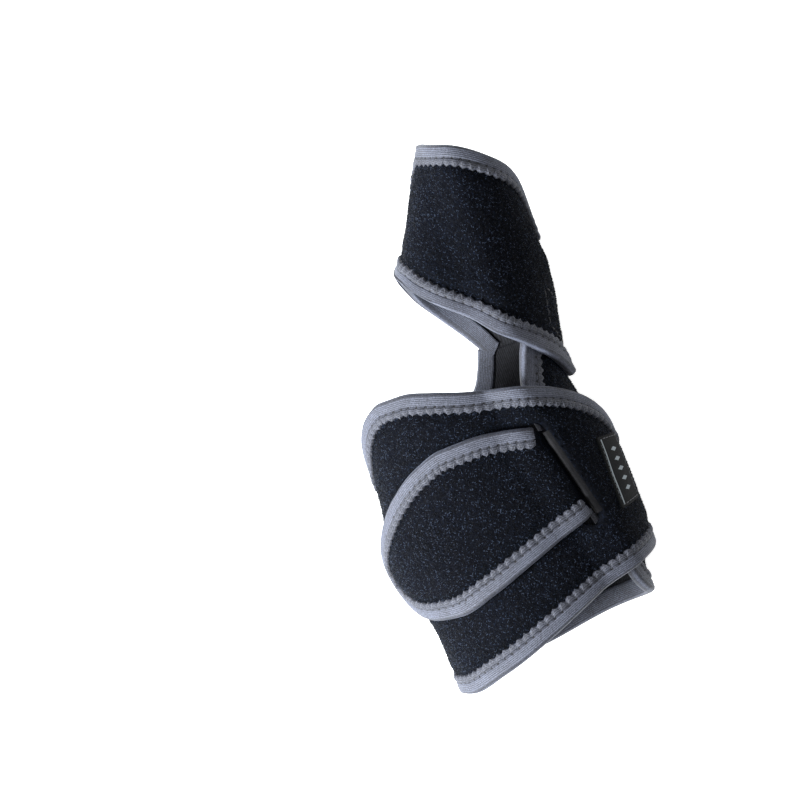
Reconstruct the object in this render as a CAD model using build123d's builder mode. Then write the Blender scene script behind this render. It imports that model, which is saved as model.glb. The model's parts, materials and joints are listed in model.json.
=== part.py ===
from build123d import *
import math
import os

# A wrap-around splint for the right wrist and thumb. Millimetres and degrees.
# +Z runs from the forearm to the hand, -Y is the palm side, +X is the thumb side.
# The origin is the middle of the wrist. Angles are measured round an axis parallel
# to Z: 0 is the thumb side, 90 the palm, 180 the little finger side, 270 the back.

# ---- driving dimensions ----
FABRIC = 2.0
STRAP_FABRIC = 1.6
BAND_FABRIC = 1.8
TAPE = 0.45
TAPE_WIDTH = 6.0
TAPE_GAP = 0.22
LAYER_GAP = 0.26
HOOK = 0.5
THREAD_WIDTH = 0.5
THREAD_HEIGHT = 0.25
THREAD_GAP = 0.10

ARM_AXIS = (0.0, 0.0)
THUMB_AXIS = (18.0, -4.0)
FOREARM_HALF_WIDTH = 32.0
WRIST_HALF_DEPTH = 22.0
THUMB_HALF_DEPTH = 12.0
THUMB_FORWARD = 9.0
NECK_SEAM_Z = 40.0
SEAM_GAP = 0.3

# The opening that the closing strap comes out of. It leans, so its angle falls with z.
SLOT_ANGLE = 50.5
SLOT_MIDDLE_Z = -6.6
SLOT_LEAN = 0.50
SLOT_CENTRE_Z = -4.6
SLOT_LENGTH = 38.0
SLOT_WIDTH = 7.0
TAB_HINGE_ANGLE = 58.0
TAB_HINGE_GAP = 0.7

STAY_WIDTH = 14.0
STAY_THICKNESS = 1.2
STAY_MIDDLE_X = -2.0
STAY_BOTTOM_Z = -46.0
STAY_TOP_Z = 8.0
STAY_RADIUS = 50.0
CAP_THICKNESS = 0.3
CAP_LENGTH = 7.0
POCKET_FABRIC = 0.8


# ---- the arm form that the splint is shaped on ----
def bell(z, middle, width):
    return math.exp(-(((z - middle) / width) ** 2))


def ease(value, start, end):
    share = min(1.0, max(0.0, (value - start) / (end - start)))
    return share * share * (3.0 - 2.0 * share)


def ramp(z, start, width):
    return width * math.log(1.0 + math.exp((z - start) / width))


def thumb_side(z):
    waist = 4.0 * bell(z, 32.0, 17.0)
    knuckle = 0.4 * bell(z, -18.0, 20.0)
    return FOREARM_HALF_WIDTH - waist + knuckle


def little_finger_side(z):
    widening = 3.4 / (1.0 + math.exp(-(z + 33.0) / 4.0))
    ulna_head = 3.2 * bell(z, -14.0, 14.0)
    web = 0.95 * ramp(z, 42.0, 4.0) - 0.42 * ramp(z, 76.0, 4.0)
    return -FOREARM_HALF_WIDTH - widening - ulna_head + web


def form_ellipse(z, height):
    """Middle x, middle y, half width and half depth of the form, `height` off its skin."""
    right = thumb_side(z)
    left = little_finger_side(z)
    toward_thumb = ease(z, 30.0, 105.0)
    depth = WRIST_HALF_DEPTH + (THUMB_HALF_DEPTH - WRIST_HALF_DEPTH) * toward_thumb
    middle_y = -THUMB_FORWARD * toward_thumb
    return (right + left) / 2, middle_y, (right - left) / 2 + height, depth + height


def form_radius(axis, angle, z, height):
    """Distance from the axis to the form, `height` off its skin, in one direction."""
    middle_x, middle_y, half_width, half_depth = form_ellipse(z, height)
    along_x = math.cos(math.radians(angle))
    along_y = -math.sin(math.radians(angle))
    off_x = middle_x - axis[0]
    off_y = middle_y - axis[1]
    square = (along_x / half_width) ** 2 + (along_y / half_depth) ** 2
    linear = along_x * off_x / half_width**2 + along_y * off_y / half_depth**2
    rest = (off_x / half_width) ** 2 + (off_y / half_depth) ** 2 - 1.0
    return (linear + math.sqrt(linear**2 - square * rest)) / square


def radial_plane(axis, angle):
    """Upright plane through the axis: local x points outward, local y is Z."""
    cosine = math.cos(math.radians(angle))
    sine = math.sin(math.radians(angle))
    return Plane(origin=(*axis, 0), x_dir=(cosine, -sine, 0), z_dir=(-sine, -cosine, 0))


def through(knots, value):
    """Smooth curve through the knots that never overshoots between them."""
    if value <= knots[0][0]:
        return knots[0][1]
    if value >= knots[-1][0]:
        return knots[-1][1]
    steps = [b[0] - a[0] for a, b in zip(knots, knots[1:])]
    slopes = [(b[1] - a[1]) / (b[0] - a[0]) for a, b in zip(knots, knots[1:])]
    tangents = [slopes[0]]
    for before, after in zip(slopes, slopes[1:]):
        same_way = before * after > 0
        tangents.append(2.0 * before * after / (before + after) if same_way else 0.0)
    tangents.append(slopes[-1])
    span = max(i for i in range(len(steps)) if knots[i][0] <= value)
    t = (value - knots[span][0]) / steps[span]
    rise_start = (1 + 2 * t) * (1 - t) ** 2 * knots[span][1]
    rise_end = t * t * (3 - 2 * t) * knots[span + 1][1]
    lean_start = t * (1 - t) ** 2 * steps[span] * tangents[span]
    lean_end = t * t * (t - 1) * steps[span] * tangents[span + 1]
    return rise_start + rise_end + lean_start + lean_end


def spread(start, end, count):
    """Angles from start to end, closer together at both ends."""
    middle = (start + end) / 2
    half = (end - start) / 2
    return [middle - half * math.cos(math.pi * i / (count - 1)) for i in range(count)]


def evenly(start, end, count):
    return [start + (end - start) * i / (count - 1) for i in range(count)]


def smooth_edge(points):
    """A curve through evenly numbered points, so that neighbouring sections match."""
    numbers = evenly(0.0, 1.0, len(points))
    return Edge.make_spline([Vector(*point) for point in points], parameters=numbers)


class Sheet:
    """One piece of fabric wrapped on the form, as its two rims over the angle."""

    def __init__(self, axis, start, end, low, high, lift, thickness):
        self.axis = axis
        self.start = start
        self.end = end
        self.low = low
        self.high = high
        self.lift = lift
        self.thickness = thickness

    def radius(self, angle, z, depth):
        return form_radius(self.axis, angle, z, self.lift(angle, z) + depth)

    def point(self, angle, z, depth):
        distance = self.radius(angle, z, depth)
        turn = math.radians(angle)
        x = self.axis[0] + distance * math.cos(turn)
        y = self.axis[1] - distance * math.sin(turn)
        return Vector(x, y, z)

    def section(self, angle, across=9):
        """The sheet cut by the upright plane at one angle."""
        levels = evenly(self.low(angle), self.high(angle), across)
        inner = [(self.radius(angle, z, 0), z) for z in levels]
        outer = [(self.radius(angle, z, self.thickness), z) for z in levels]
        with BuildSketch(radial_plane(self.axis, angle)) as cut:
            with BuildLine():
                add(smooth_edge(inner))
                Line(inner[-1], outer[-1])
                add(smooth_edge(outer))
                Line(outer[0], inner[0])
            make_face()
        return cut.sketch

    def sections(self, count):
        return [self.section(angle) for angle in spread(self.start, self.end, count)]

    def frame(self, angle, z, depth):
        """How the surface point moves per degree and per millimetre, and the way out."""
        step = 0.05
        ahead = self.point(angle + step, z, depth)
        behind = self.point(angle - step, z, depth)
        above = self.point(angle, z + step, depth)
        below = self.point(angle, z - step, depth)
        per_degree = (ahead - behind) * (0.5 / step)
        per_z = (above - below) * (0.5 / step)
        outward = per_z.cross(per_degree).normalized()
        away = self.point(angle, z, depth + 1) - self.point(angle, z, depth)
        if outward.dot(away) < 0:
            outward = outward * -1
        return per_degree, per_z, outward


def low_rim(sheet, start, end, count=60):
    return [(angle, sheet.low(angle)) for angle in evenly(start, end, count)]


def high_rim(sheet, start, end, count=60):
    return [(angle, sheet.high(angle)) for angle in evenly(start, end, count)]


def resample(sheet, path, spacing):
    """The same path with its places about `spacing` apart along the fabric."""
    places = [sheet.point(angle, z, 0) for angle, z in path]
    lengths = [0.0]
    for a, b in zip(places, places[1:]):
        lengths.append(lengths[-1] + (b - a).length)
    count = max(4, round(lengths[-1] / spacing) + 1)
    result = []
    span = 0
    for wanted in evenly(0.0, lengths[-1], count):
        while span < len(path) - 2 and lengths[span + 1] < wanted:
            span += 1
        width = max(lengths[span + 1] - lengths[span], 1e-9)
        t = (wanted - lengths[span]) / width
        angle = path[span][0] + t * (path[span + 1][0] - path[span][0])
        z = path[span][1] + t * (path[span + 1][1] - path[span][1])
        result.append((angle, z))
    return result


class Station:
    """A plane across a path on a sheet, local x into the fabric and local y outward."""

    def __init__(self, sheet, path, index, inward_sign):
        self.sheet = sheet
        self.angle, self.z = path[index]
        before = path[max(index - 1, 0)]
        after = path[min(index + 1, len(path) - 1)]
        middle = sheet.thickness / 2
        along = sheet.point(*after, middle) - sheet.point(*before, middle)
        per_degree, per_z, outward = sheet.frame(self.angle, self.z, middle)
        along = (along - outward * along.dot(outward)).normalized()
        inward = outward.cross(along) * inward_sign
        if inward_sign < 0:
            along = along * -1
        self.plane = Plane(
            origin=sheet.point(self.angle, self.z, middle), x_dir=inward, z_dir=along
        )
        square_a = per_degree.dot(per_degree)
        square_z = per_z.dot(per_z)
        mixed = per_degree.dot(per_z)
        wanted_a = inward.dot(per_degree)
        wanted_z = inward.dot(per_z)
        scale = square_a * square_z - mixed**2
        self.degrees_per_mm = (wanted_a * square_z - wanted_z * mixed) / scale
        self.z_per_mm = (wanted_z * square_a - wanted_a * mixed) / scale

    def local(self, inset, depth):
        """Local place of the fabric `inset` from the edge, `depth` above its inner face."""
        angle = self.angle + self.degrees_per_mm * inset
        z = self.z + self.z_per_mm * inset
        place = self.plane.to_local_coords(self.sheet.point(angle, z, depth))
        return (place.X, place.Y)


def tape_section(station, width, tape, gap):
    """The U of a binding tape folded over the edge of the sheet."""
    thickness = station.sheet.thickness
    insets = evenly(0.0, width, 4)
    top = [station.local(x, thickness + gap + tape) for x in insets]
    bottom = [station.local(x, -gap - tape) for x in insets]
    cavity = evenly(-gap, width, 4)
    cavity_top = [station.local(x, thickness + gap) for x in cavity]
    cavity_bottom = [station.local(x, -gap) for x in cavity]
    nose = (-gap - 1.6 * tape, (top[0][1] + bottom[0][1]) / 2)
    with BuildSketch(station.plane) as cut:
        with BuildLine():
            add(smooth_edge(top[::-1]))
            ThreePointArc(top[0], nose, bottom[0])
            add(smooth_edge(bottom))
            Line(bottom[-1], cavity_bottom[-1])
            add(smooth_edge(cavity_bottom[::-1]))
            Line(cavity_bottom[0], cavity_top[0])
            add(smooth_edge(cavity_top))
            Line(cavity_top[-1], top[-1])
        make_face()
    return cut.sketch


def tape_sections(sheet, path, inward_sign, spacing=3.5, width=TAPE_WIDTH, tape=TAPE, gap=TAPE_GAP):
    places = resample(sheet, path, spacing)
    stations = [Station(sheet, places, i, inward_sign) for i in range(len(places))]
    return [tape_section(station, width, tape, gap) for station in stations]


def thread_sections(sheet, path, spacing=5.0):
    """A raised row of stitching that follows a path on the outer face of a sheet."""
    places = resample(sheet, path, spacing)
    cuts = []
    for i in range(len(places)):
        station = Station(sheet, places, i, 1)
        base = sheet.thickness + THREAD_GAP
        left = station.local(-THREAD_WIDTH / 2, base)
        right = station.local(THREAD_WIDTH / 2, base)
        left_top = station.local(-THREAD_WIDTH / 2, base + THREAD_HEIGHT)
        right_top = station.local(THREAD_WIDTH / 2, base + THREAD_HEIGHT)
        with BuildSketch(station.plane) as cut:
            with BuildLine():
                Polyline(left, right, right_top, left_top, close=True)
            make_face()
        cuts.append(cut.sketch)
    return cuts


# ---- heights of the layers above the form ----
SKIN_LIFT = TAPE + TAPE_GAP
UNDER_TOP = SKIN_LIFT + FABRIC + TAPE_GAP + TAPE
OVER_LIFT = UNDER_TOP + LAYER_GAP + TAPE_GAP + TAPE
STRAP_CLEARANCE = 0.15
STRAP_LIFT = UNDER_TOP + STRAP_CLEARANCE
LIP_CLEARANCE = 1.15
LIP_LIFT = STRAP_LIFT + STRAP_FABRIC + LIP_CLEARANCE
STRAP_CREST = 2.05
BAND_ON_SKIN_TOP = SKIN_LIFT + BAND_FABRIC
TAB_CLEARANCE = 0.05
TAB_LIFT = BAND_ON_SKIN_TOP + LAYER_GAP + TAPE_GAP + TAPE + TAB_CLEARANCE


def straight_angle(angle, z):
    """The angle with the lean of the slot taken out."""
    return angle - SLOT_LEAN * (z - SLOT_MIDDLE_Z)


def leaning_angle(straight, z):
    return straight + SLOT_LEAN * (z - SLOT_MIDDLE_Z)


def panel_lift(angle, z):
    return SKIN_LIFT


def band_lift(angle, z):
    past_slot = ease(straight_angle(angle, z), 42.0, 66.0)
    at_seam = ease(angle, 186.0, 203.0)
    raised = LIP_LIFT + (SKIN_LIFT - LIP_LIFT) * past_slot
    return raised + (OVER_LIFT - SKIN_LIFT) * at_seam


def strap_lift(angle, z):
    straight = straight_angle(angle, z)
    crest = STRAP_LIFT + STRAP_CREST * ease(straight, 46.0, 55.5)
    return crest + (TAB_LIFT - STRAP_LIFT - STRAP_CREST) * ease(straight, 57.0, 76.0)


def wing_lift(angle, z):
    return OVER_LIFT + (SKIN_LIFT - OVER_LIFT) * ease(angle, 84.0, 118.0)


# ---- rims of the fabric pieces, as (angle, z) ----
MAIN_LOW = (
    (-150.0, -59.5), (-90.0, -57.0), (-40.0, -53.0), (0.0, -50.3), (9.0, -49.0), (17.0, -45.5),
    (23.0, -39.0), (28.5, -30.0), (33.5, -20.0), (38.5, -8.0), (44.0, 4.0), (48.0, 12.0), (49.5, 16.0),
)
MAIN_HIGH = (
    (-150.0, 9.0), (-135.0, 13.0), (-120.0, 18.0), (-105.0, 21.5), (-90.0, 25.0), (-78.0, 30.0),
    (-70.0, 36.0), (-62.0, 43.0), (-50.0, 46.0), (20.0, 46.0), (30.0, 42.5), (36.0, 37.7),
    (40.0, 33.5), (47.0, 25.5), (49.5, 20.5),
)
BACK_LOW = (
    (178.0, 75.5), (205.0, 69.0), (223.0, 61.5), (240.0, 52.0), (250.0, 45.0), (259.0, 38.0),
    (275.0, 35.0), (424.0, 35.0),
)
BACK_HIGH = (
    (178.0, 103.5), (205.0, 99.0), (240.0, 92.0), (270.0, 88.0), (300.0, 84.0), (330.0, 78.0),
    (360.0, 69.0), (375.0, 63.0), (390.0, 56.0), (405.0, 50.0), (418.0, 44.5), (424.0, 42.0),
)
WING_LOW = (
    (-6.0, 24.5), (0.0, 25.5), (26.0, 30.6), (63.0, 36.7), (96.0, 44.5), (115.0, 52.3),
    (131.0, 59.0), (145.0, 65.5), (156.0, 70.0), (182.0, 75.5),
)
WING_HIGH = (
    (-6.0, 70.0), (0.0, 73.5), (8.0, 78.5), (15.0, 84.0), (26.0, 88.8), (58.0, 97.0), (90.0, 104.5),
    (120.0, 108.0), (146.0, 108.5), (182.0, 103.5),
)
BAND_LOW = (
    (-38.0, -23.0), (-36.8, -27.0), (-33.0, -31.0), (-24.0, -34.0), (0.0, -35.5), (26.0, -38.3),
    (50.0, -42.5), (93.0, -50.0), (137.0, -57.1), (162.0, -60.3), (178.0, -60.0), (232.0, -59.5),
)
BAND_HIGH = (
    (-38.0, -12.0), (-36.8, -8.0), (-33.0, -4.5), (-22.0, -1.5), (4.0, 5.6), (12.0, 10.5), (22.0, 15.3),
    (33.0, 19.3), (45.0, 22.4), (67.0, 26.2), (97.0, 29.6), (117.0, 32.6), (136.0, 35.0), (149.0, 35.1),
    (160.0, 32.5), (170.0, 27.0), (180.0, 18.5), (192.0, 12.5), (208.0, 9.8), (232.0, 9.2),
)
TAB_LOW = (
    (40.0, -17.5), (50.0, -19.4), (72.0, -23.2), (96.0, -27.2), (120.0, -31.4), (143.0, -34.7),
    (156.0, -34.3), (168.0, -32.0), (175.0, -28.0), (180.0, -22.5),
)
TAB_HIGH = (
    (40.0, 9.0), (58.0, 11.2), (79.0, 13.8), (100.0, 15.0), (121.0, 14.7), (138.0, 11.7),
    (155.0, 5.5), (168.0, -2.4), (176.0, -9.0), (180.0, -14.0),
)
ROOT_LOW = ((-60.0, -34.5), (-30.0, -32.0), (0.0, -27.0), (40.0, -17.5), (50.0, -19.4), (75.0, -23.6))
ROOT_HIGH = ((-60.0, -7.5), (-20.0, -5.5), (10.0, 1.5), (40.0, 9.0), (58.0, 11.2), (75.0, 13.3))
LABEL_LOW = ((11.0, -20.2), (29.0, -21.4))
LABEL_HIGH = ((11.0, 1.8), (29.0, 2.5))


def rim(knots, shift=0.0):
    return lambda angle: through(knots, angle) + shift


def above(lift, height):
    """A layer lying `height` above another sheet's inner face."""
    return lambda angle, z: lift(angle, z) + height


SLEEVE_START = 290.0
SLEEVE_END = 326.0
SLEEVE_LOW = 13.0
SLEEVE_HIGH = 69.0
SLEEVE_FLANGE_ANGLE = 6.0
SLEEVE_FLANGE_Z = 4.5
SLEEVE_FABRIC = 0.7
THUMB_STAY_THICKNESS = 1.1
SLEEVE_BASE = SKIN_LIFT + FABRIC + 0.40
SLEEVE_RISE = 1.42
HOOK_DROP = HOOK + THREAD_GAP
HOOK_INSET = TAPE_WIDTH + 3.0


def sleeve_lift(angle, z):
    over = ease(angle, SLEEVE_START, SLEEVE_START + SLEEVE_FLANGE_ANGLE)
    over *= ease(-angle, -SLEEVE_END, SLEEVE_FLANGE_ANGLE - SLEEVE_END)
    over *= ease(z, SLEEVE_LOW, SLEEVE_LOW + SLEEVE_FLANGE_Z)
    over *= ease(-z, -SLEEVE_HIGH, SLEEVE_FLANGE_Z - SLEEVE_HIGH)
    return SLEEVE_BASE + SLEEVE_RISE * over


def flat(level):
    return lambda angle: level


main_sheet = Sheet(ARM_AXIS, -150, 49.5, rim(MAIN_LOW), rim(MAIN_HIGH), panel_lift, FABRIC)
back_sheet = Sheet(THUMB_AXIS, 178, 423, rim(BACK_LOW), rim(BACK_HIGH), panel_lift, FABRIC)
wing_sheet = Sheet(THUMB_AXIS, -6, 182, rim(WING_LOW), rim(WING_HIGH), wing_lift, BAND_FABRIC)
band_sheet = Sheet(ARM_AXIS, -38, 232, rim(BAND_LOW), rim(BAND_HIGH), band_lift, BAND_FABRIC)
tab_sheet = Sheet(ARM_AXIS, 45, 180, rim(TAB_LOW), rim(TAB_HIGH), strap_lift, STRAP_FABRIC)
root_sheet = Sheet(ARM_AXIS, -60, 74, rim(ROOT_LOW), rim(ROOT_HIGH), strap_lift, STRAP_FABRIC)
label_sheet = Sheet(
    ARM_AXIS, 11, 29, rim(LABEL_LOW), rim(LABEL_HIGH), above(band_lift, BAND_FABRIC + THREAD_GAP), 0.35
)
tab_hook_sheet = Sheet(
    ARM_AXIS, 118, 163, rim(TAB_LOW, HOOK_INSET), rim(TAB_HIGH, -HOOK_INSET),
    above(strap_lift, -HOOK_DROP), HOOK,
)
WING_HOOK_LOW = 8.0
WING_HOOK_HIGH = 23.0
wing_hook_sheet = Sheet(
    THUMB_AXIS, -3, 34, rim(WING_LOW, WING_HOOK_LOW), rim(WING_LOW, WING_HOOK_HIGH),
    above(wing_lift, -HOOK_DROP), HOOK,
)
sleeve_sheet = Sheet(
    THUMB_AXIS, SLEEVE_START, SLEEVE_END, flat(SLEEVE_LOW), flat(SLEEVE_HIGH), sleeve_lift, SLEEVE_FABRIC
)
STAY_SIDE_ANGLE = 8.5
STAY_END_ROOM = 5.5
THUMB_STAY_LIFT = FABRIC + 0.55
thumb_stay_sheet = Sheet(
    THUMB_AXIS, SLEEVE_START + STAY_SIDE_ANGLE, SLEEVE_END - STAY_SIDE_ANGLE,
    flat(SLEEVE_LOW + STAY_END_ROOM), flat(SLEEVE_HIGH - STAY_END_ROOM),
    above(panel_lift, THUMB_STAY_LIFT), THUMB_STAY_THICKNESS,
)

NECK_BELOW = Plane(origin=(0, 0, NECK_SEAM_Z), z_dir=(0, 0, -1))
NECK_ABOVE = Plane(origin=(0, 0, NECK_SEAM_Z + SEAM_GAP), z_dir=(0, 0, 1))
FOLD_GAP = 0.7
FOLD_BLOCK = (60.0, 40.0, 90.0)
FOLD_BLOCK_Z = 75.0


def slot_line_point(z, straight=SLOT_ANGLE, depth=BAND_FABRIC / 2):
    return band_sheet.point(leaning_angle(straight, z), z, depth)


def hinge_plane(toward_tab):
    """Plane across the strap along the tab's hinge, facing the tab or facing the slot."""
    low = tab_sheet.point(leaning_angle(TAB_HINGE_ANGLE, -24.0), -24.0, 0)
    high = tab_sheet.point(leaning_angle(TAB_HINGE_ANGLE, 11.0), 11.0, 0)
    up = tab_sheet.point(leaning_angle(TAB_HINGE_ANGLE, SLOT_MIDDLE_Z), SLOT_MIDDLE_Z, 1.0)
    along = (high - low).normalized()
    outward = Vector(up.X, up.Y, 0).normalized()
    across = along.cross(outward).normalized()
    if across.X > 0:
        across = across * -1
    middle = (low + high) * 0.5
    facing = across if toward_tab else across * -1
    return Plane(origin=middle + facing * (TAB_HINGE_GAP / 2), z_dir=facing)


def angle_at_x(sheet, x, z):
    """The palm-side angle where the middle of a sheet stands at one x."""
    low, high = 5.0, 150.0
    for _ in range(40):
        middle = (low + high) / 2
        if sheet.point(middle, z, sheet.thickness / 2).X > x:
            low = middle
        else:
            high = middle
    return low


os.makedirs("parts", exist_ok=True)

# ---- blocks that trim the fabric on each side of the fold in the web of the thumb ----
fold_middle_x = THUMB_AXIS[0] - FOLD_BLOCK[0] / 2
fold_reach = (FOLD_BLOCK[1] + FOLD_GAP) / 2
with BuildPart() as front_of_fold:
    with Locations((fold_middle_x, THUMB_AXIS[1] + FOLD_GAP - fold_reach, FOLD_BLOCK_Z)):
        Box(*FOLD_BLOCK)
with BuildPart() as back_of_fold:
    with Locations((fold_middle_x, THUMB_AXIS[1] - FOLD_GAP + fold_reach, FOLD_BLOCK_Z)):
        Box(*FOLD_BLOCK)

# ---- main panel: the body of the wrap, over the back and the thumb side ----
with BuildPart() as main_panel:
    loft(main_sheet.sections(60))
    split(bisect_by=NECK_BELOW, keep=Keep.TOP)
main_panel.part.label = "main_panel"
export_step(main_panel.part, "parts/main_panel.step")

main_palm_path = [place for place in high_rim(main_sheet, 30, 49.5) if place[1] < NECK_SEAM_Z - 0.8]
with BuildPart() as main_binding_lower:
    loft(tape_sections(main_sheet, main_palm_path + low_rim(main_sheet, 49.5, -149.5, 120), 1))
main_binding_lower.part.label = "main_binding_lower"
export_step(main_binding_lower.part, "parts/main_binding_lower.step")

main_back_path = [place for place in high_rim(main_sheet, -60, -149.5) if place[1] < NECK_SEAM_Z - 0.8]
with BuildPart() as main_binding_upper:
    loft(tape_sections(main_sheet, main_back_path, -1))
    split(bisect_by=NECK_BELOW, keep=Keep.TOP)
main_binding_upper.part.label = "main_binding_upper"
export_step(main_binding_upper.part, "parts/main_binding_upper.step")

# ---- thumb back panel: carries on up behind the thumb to the web ----
with BuildPart() as thumb_back_panel:
    loft(back_sheet.sections(64))
    split(bisect_by=NECK_ABOVE, keep=Keep.TOP)
    add(front_of_fold.part, mode=Mode.SUBTRACT)
thumb_back_panel.part.label = "thumb_back_panel"
export_step(thumb_back_panel.part, "parts/thumb_back_panel.step")

back_upper_path = list(reversed(high_rim(back_sheet, 178.5, 422.5, 120)))
with BuildPart() as thumb_back_binding_upper:
    loft(tape_sections(back_sheet, back_upper_path, -1))
    split(bisect_by=NECK_ABOVE, keep=Keep.TOP)
    add(front_of_fold.part, mode=Mode.SUBTRACT)
thumb_back_binding_upper.part.label = "thumb_back_binding_upper"
export_step(thumb_back_binding_upper.part, "parts/thumb_back_binding_upper.step")

back_lower_path = [place for place in low_rim(back_sheet, 178.5, 262) if place[1] > NECK_SEAM_Z + 0.8]
with BuildPart() as thumb_back_binding_lower:
    loft(tape_sections(back_sheet, back_lower_path, -1))
    split(bisect_by=NECK_ABOVE, keep=Keep.TOP)
    add(front_of_fold.part, mode=Mode.SUBTRACT)
thumb_back_binding_lower.part.label = "thumb_back_binding_lower"
export_step(thumb_back_binding_lower.part, "parts/thumb_back_binding_lower.step")

# ---- the two stitch rows of the seam that joins the main panel and the thumb back panel ----
NECK_STITCH_START = 276.0
NECK_STITCH_END = 398.0
NECK_STITCH_OFFSET = 1.4
with BuildPart() as neck_seam_stitching:
    for row_z in (NECK_SEAM_Z - NECK_STITCH_OFFSET, NECK_SEAM_Z + NECK_STITCH_OFFSET + SEAM_GAP):
        row = [(angle, row_z) for angle in evenly(NECK_STITCH_START, NECK_STITCH_END, 40)]
        loft(thread_sections(back_sheet, row))
neck_seam_stitching.part.label = "neck_seam_stitching"
export_step(neck_seam_stitching.part, "parts/neck_seam_stitching.step")

# ---- thumb strap: comes through the web and crosses the ball of the thumb ----
with BuildPart() as thumb_strap:
    loft(wing_sheet.sections(56))
    add(back_of_fold.part, mode=Mode.SUBTRACT)
thumb_strap.part.label = "thumb_strap"
export_step(thumb_strap.part, "parts/thumb_strap.step")

with BuildPart() as thumb_strap_binding_upper:
    loft(tape_sections(wing_sheet, high_rim(wing_sheet, -5.5, 181.5, 120), 1, 3.6))
    add(back_of_fold.part, mode=Mode.SUBTRACT)
thumb_strap_binding_upper.part.label = "thumb_strap_binding_upper"
export_step(thumb_strap_binding_upper.part, "parts/thumb_strap_binding_upper.step")

with BuildPart() as thumb_strap_binding_lower:
    loft(tape_sections(wing_sheet, low_rim(wing_sheet, -5.5, 181.5, 120), -1, 3.0))
    add(back_of_fold.part, mode=Mode.SUBTRACT)
thumb_strap_binding_lower.part.label = "thumb_strap_binding_lower"
export_step(thumb_strap_binding_lower.part, "parts/thumb_strap_binding_lower.step")

with BuildPart() as thumb_strap_hook:
    loft(wing_hook_sheet.sections(8))
thumb_strap_hook.part.label = "thumb_strap_hook"
export_step(thumb_strap_hook.part, "parts/thumb_strap_hook.step")

HOOK_STITCH_INSET = 1.2
HOOK_STITCH_ANGLE = 2.4
CORNER_GAP = 0.7
WING_STITCH_LOW = WING_HOOK_LOW + HOOK_STITCH_INSET
WING_STITCH_HIGH = WING_HOOK_HIGH - HOOK_STITCH_INSET
with BuildPart() as thumb_strap_hook_stitching:
    for angle in (wing_hook_sheet.start + HOOK_STITCH_ANGLE, wing_hook_sheet.end - HOOK_STITCH_ANGLE):
        low = wing_sheet.low(angle) + WING_STITCH_LOW + CORNER_GAP
        high = wing_sheet.low(angle) + WING_STITCH_HIGH - CORNER_GAP
        loft(thread_sections(wing_sheet, [(angle, z) for z in evenly(low, high, 12)]))
    for height in (WING_STITCH_LOW, WING_STITCH_HIGH):
        angles = evenly(wing_hook_sheet.start + 1, wing_hook_sheet.end - 1, 20)
        loft(thread_sections(wing_sheet, [(angle, wing_sheet.low(angle) + height) for angle in angles]))
thumb_strap_hook_stitching.part.label = "thumb_strap_hook_stitching"
export_step(thumb_strap_hook_stitching.part, "parts/thumb_strap_hook_stitching.step")

# ---- wrist band: from its seam behind the little finger side, over the palm, to its slotted end ----
slot_low = slot_line_point(SLOT_CENTRE_Z - SLOT_LENGTH / 2)
slot_high = slot_line_point(SLOT_CENTRE_Z + SLOT_LENGTH / 2)
slot_tilt = math.degrees(math.atan2(slot_high.Z - slot_low.Z, slot_high.X - slot_low.X))
slot_middle_x = (slot_low.X + slot_high.X) / 2
with BuildPart() as wrist_band:
    loft(band_sheet.sections(76))
    with BuildSketch(Plane.XZ) as slot:
        with Locations(Location((slot_middle_x, SLOT_CENTRE_Z, 0), (0, 0, slot_tilt))):
            SlotOverall(SLOT_LENGTH, SLOT_WIDTH)
    extrude(amount=60, mode=Mode.SUBTRACT)
wrist_band.part.label = "wrist_band"
export_step(wrist_band.part, "parts/wrist_band.step")

band_end_path = [(band_sheet.start, z) for z in evenly(BAND_HIGH[0][1], BAND_LOW[0][1], 12)]
band_path = list(reversed(high_rim(band_sheet, -38, 231.5, 160))) + band_end_path[1:-1]
band_path += low_rim(band_sheet, -38, 231.5, 160)
with BuildPart() as band_binding:
    loft(tape_sections(band_sheet, band_path, -1, 4.0))
band_binding.part.label = "band_binding"
export_step(band_binding.part, "parts/band_binding.step")

# ---- folded facing on the lip of the slot ----
FACING_WIDTH = 2.4
FACING_TAPE = 0.3
FACING_GAP = 0.06
LIP_INSET = 0.9
lip_offset = (SLOT_WIDTH / 2 - LIP_INSET) / math.sin(math.radians(slot_tilt))


def lip_x(z):
    share = (z - slot_low.Z) / (slot_high.Z - slot_low.Z)
    return slot_low.X + share * (slot_high.X - slot_low.X) + lip_offset


LIP_END = 5.0
lip_half = SLOT_LENGTH / 2 - LIP_END
lip_levels = evenly(SLOT_CENTRE_Z + lip_half, SLOT_CENTRE_Z - lip_half, 24)
lip_path = [(angle_at_x(band_sheet, lip_x(z), z), z) for z in lip_levels]
with BuildPart() as slot_facing:
    loft(tape_sections(band_sheet, lip_path, 1, 3.0, FACING_WIDTH, FACING_TAPE, FACING_GAP))
slot_facing.part.label = "slot_facing"
export_step(slot_facing.part, "parts/slot_facing.step")

# ---- stitching of the seam that holds the band on the main panel ----
BAND_SEAM_START = 214.0
BAND_SEAM_END = 226.0
BAND_STITCH_END = 8.0
with BuildPart() as band_seam_stitching:
    for angle in (BAND_SEAM_START, BAND_SEAM_END):
        low = band_sheet.low(angle) + BAND_STITCH_END
        levels = evenly(low, band_sheet.high(angle) - BAND_STITCH_END, 20)
        loft(thread_sections(band_sheet, [(angle, z) for z in levels]))
band_seam_stitching.part.label = "band_seam_stitching"
export_step(band_seam_stitching.part, "parts/band_seam_stitching.step")

# ---- closing strap: its anchored half runs under the band and comes up through the slot ----
with BuildPart() as closing_strap:
    loft(root_sheet.sections(30))
    split(bisect_by=hinge_plane(False), keep=Keep.TOP)
closing_strap.part.label = "closing_strap"
export_step(closing_strap.part, "parts/closing_strap.step")

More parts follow.
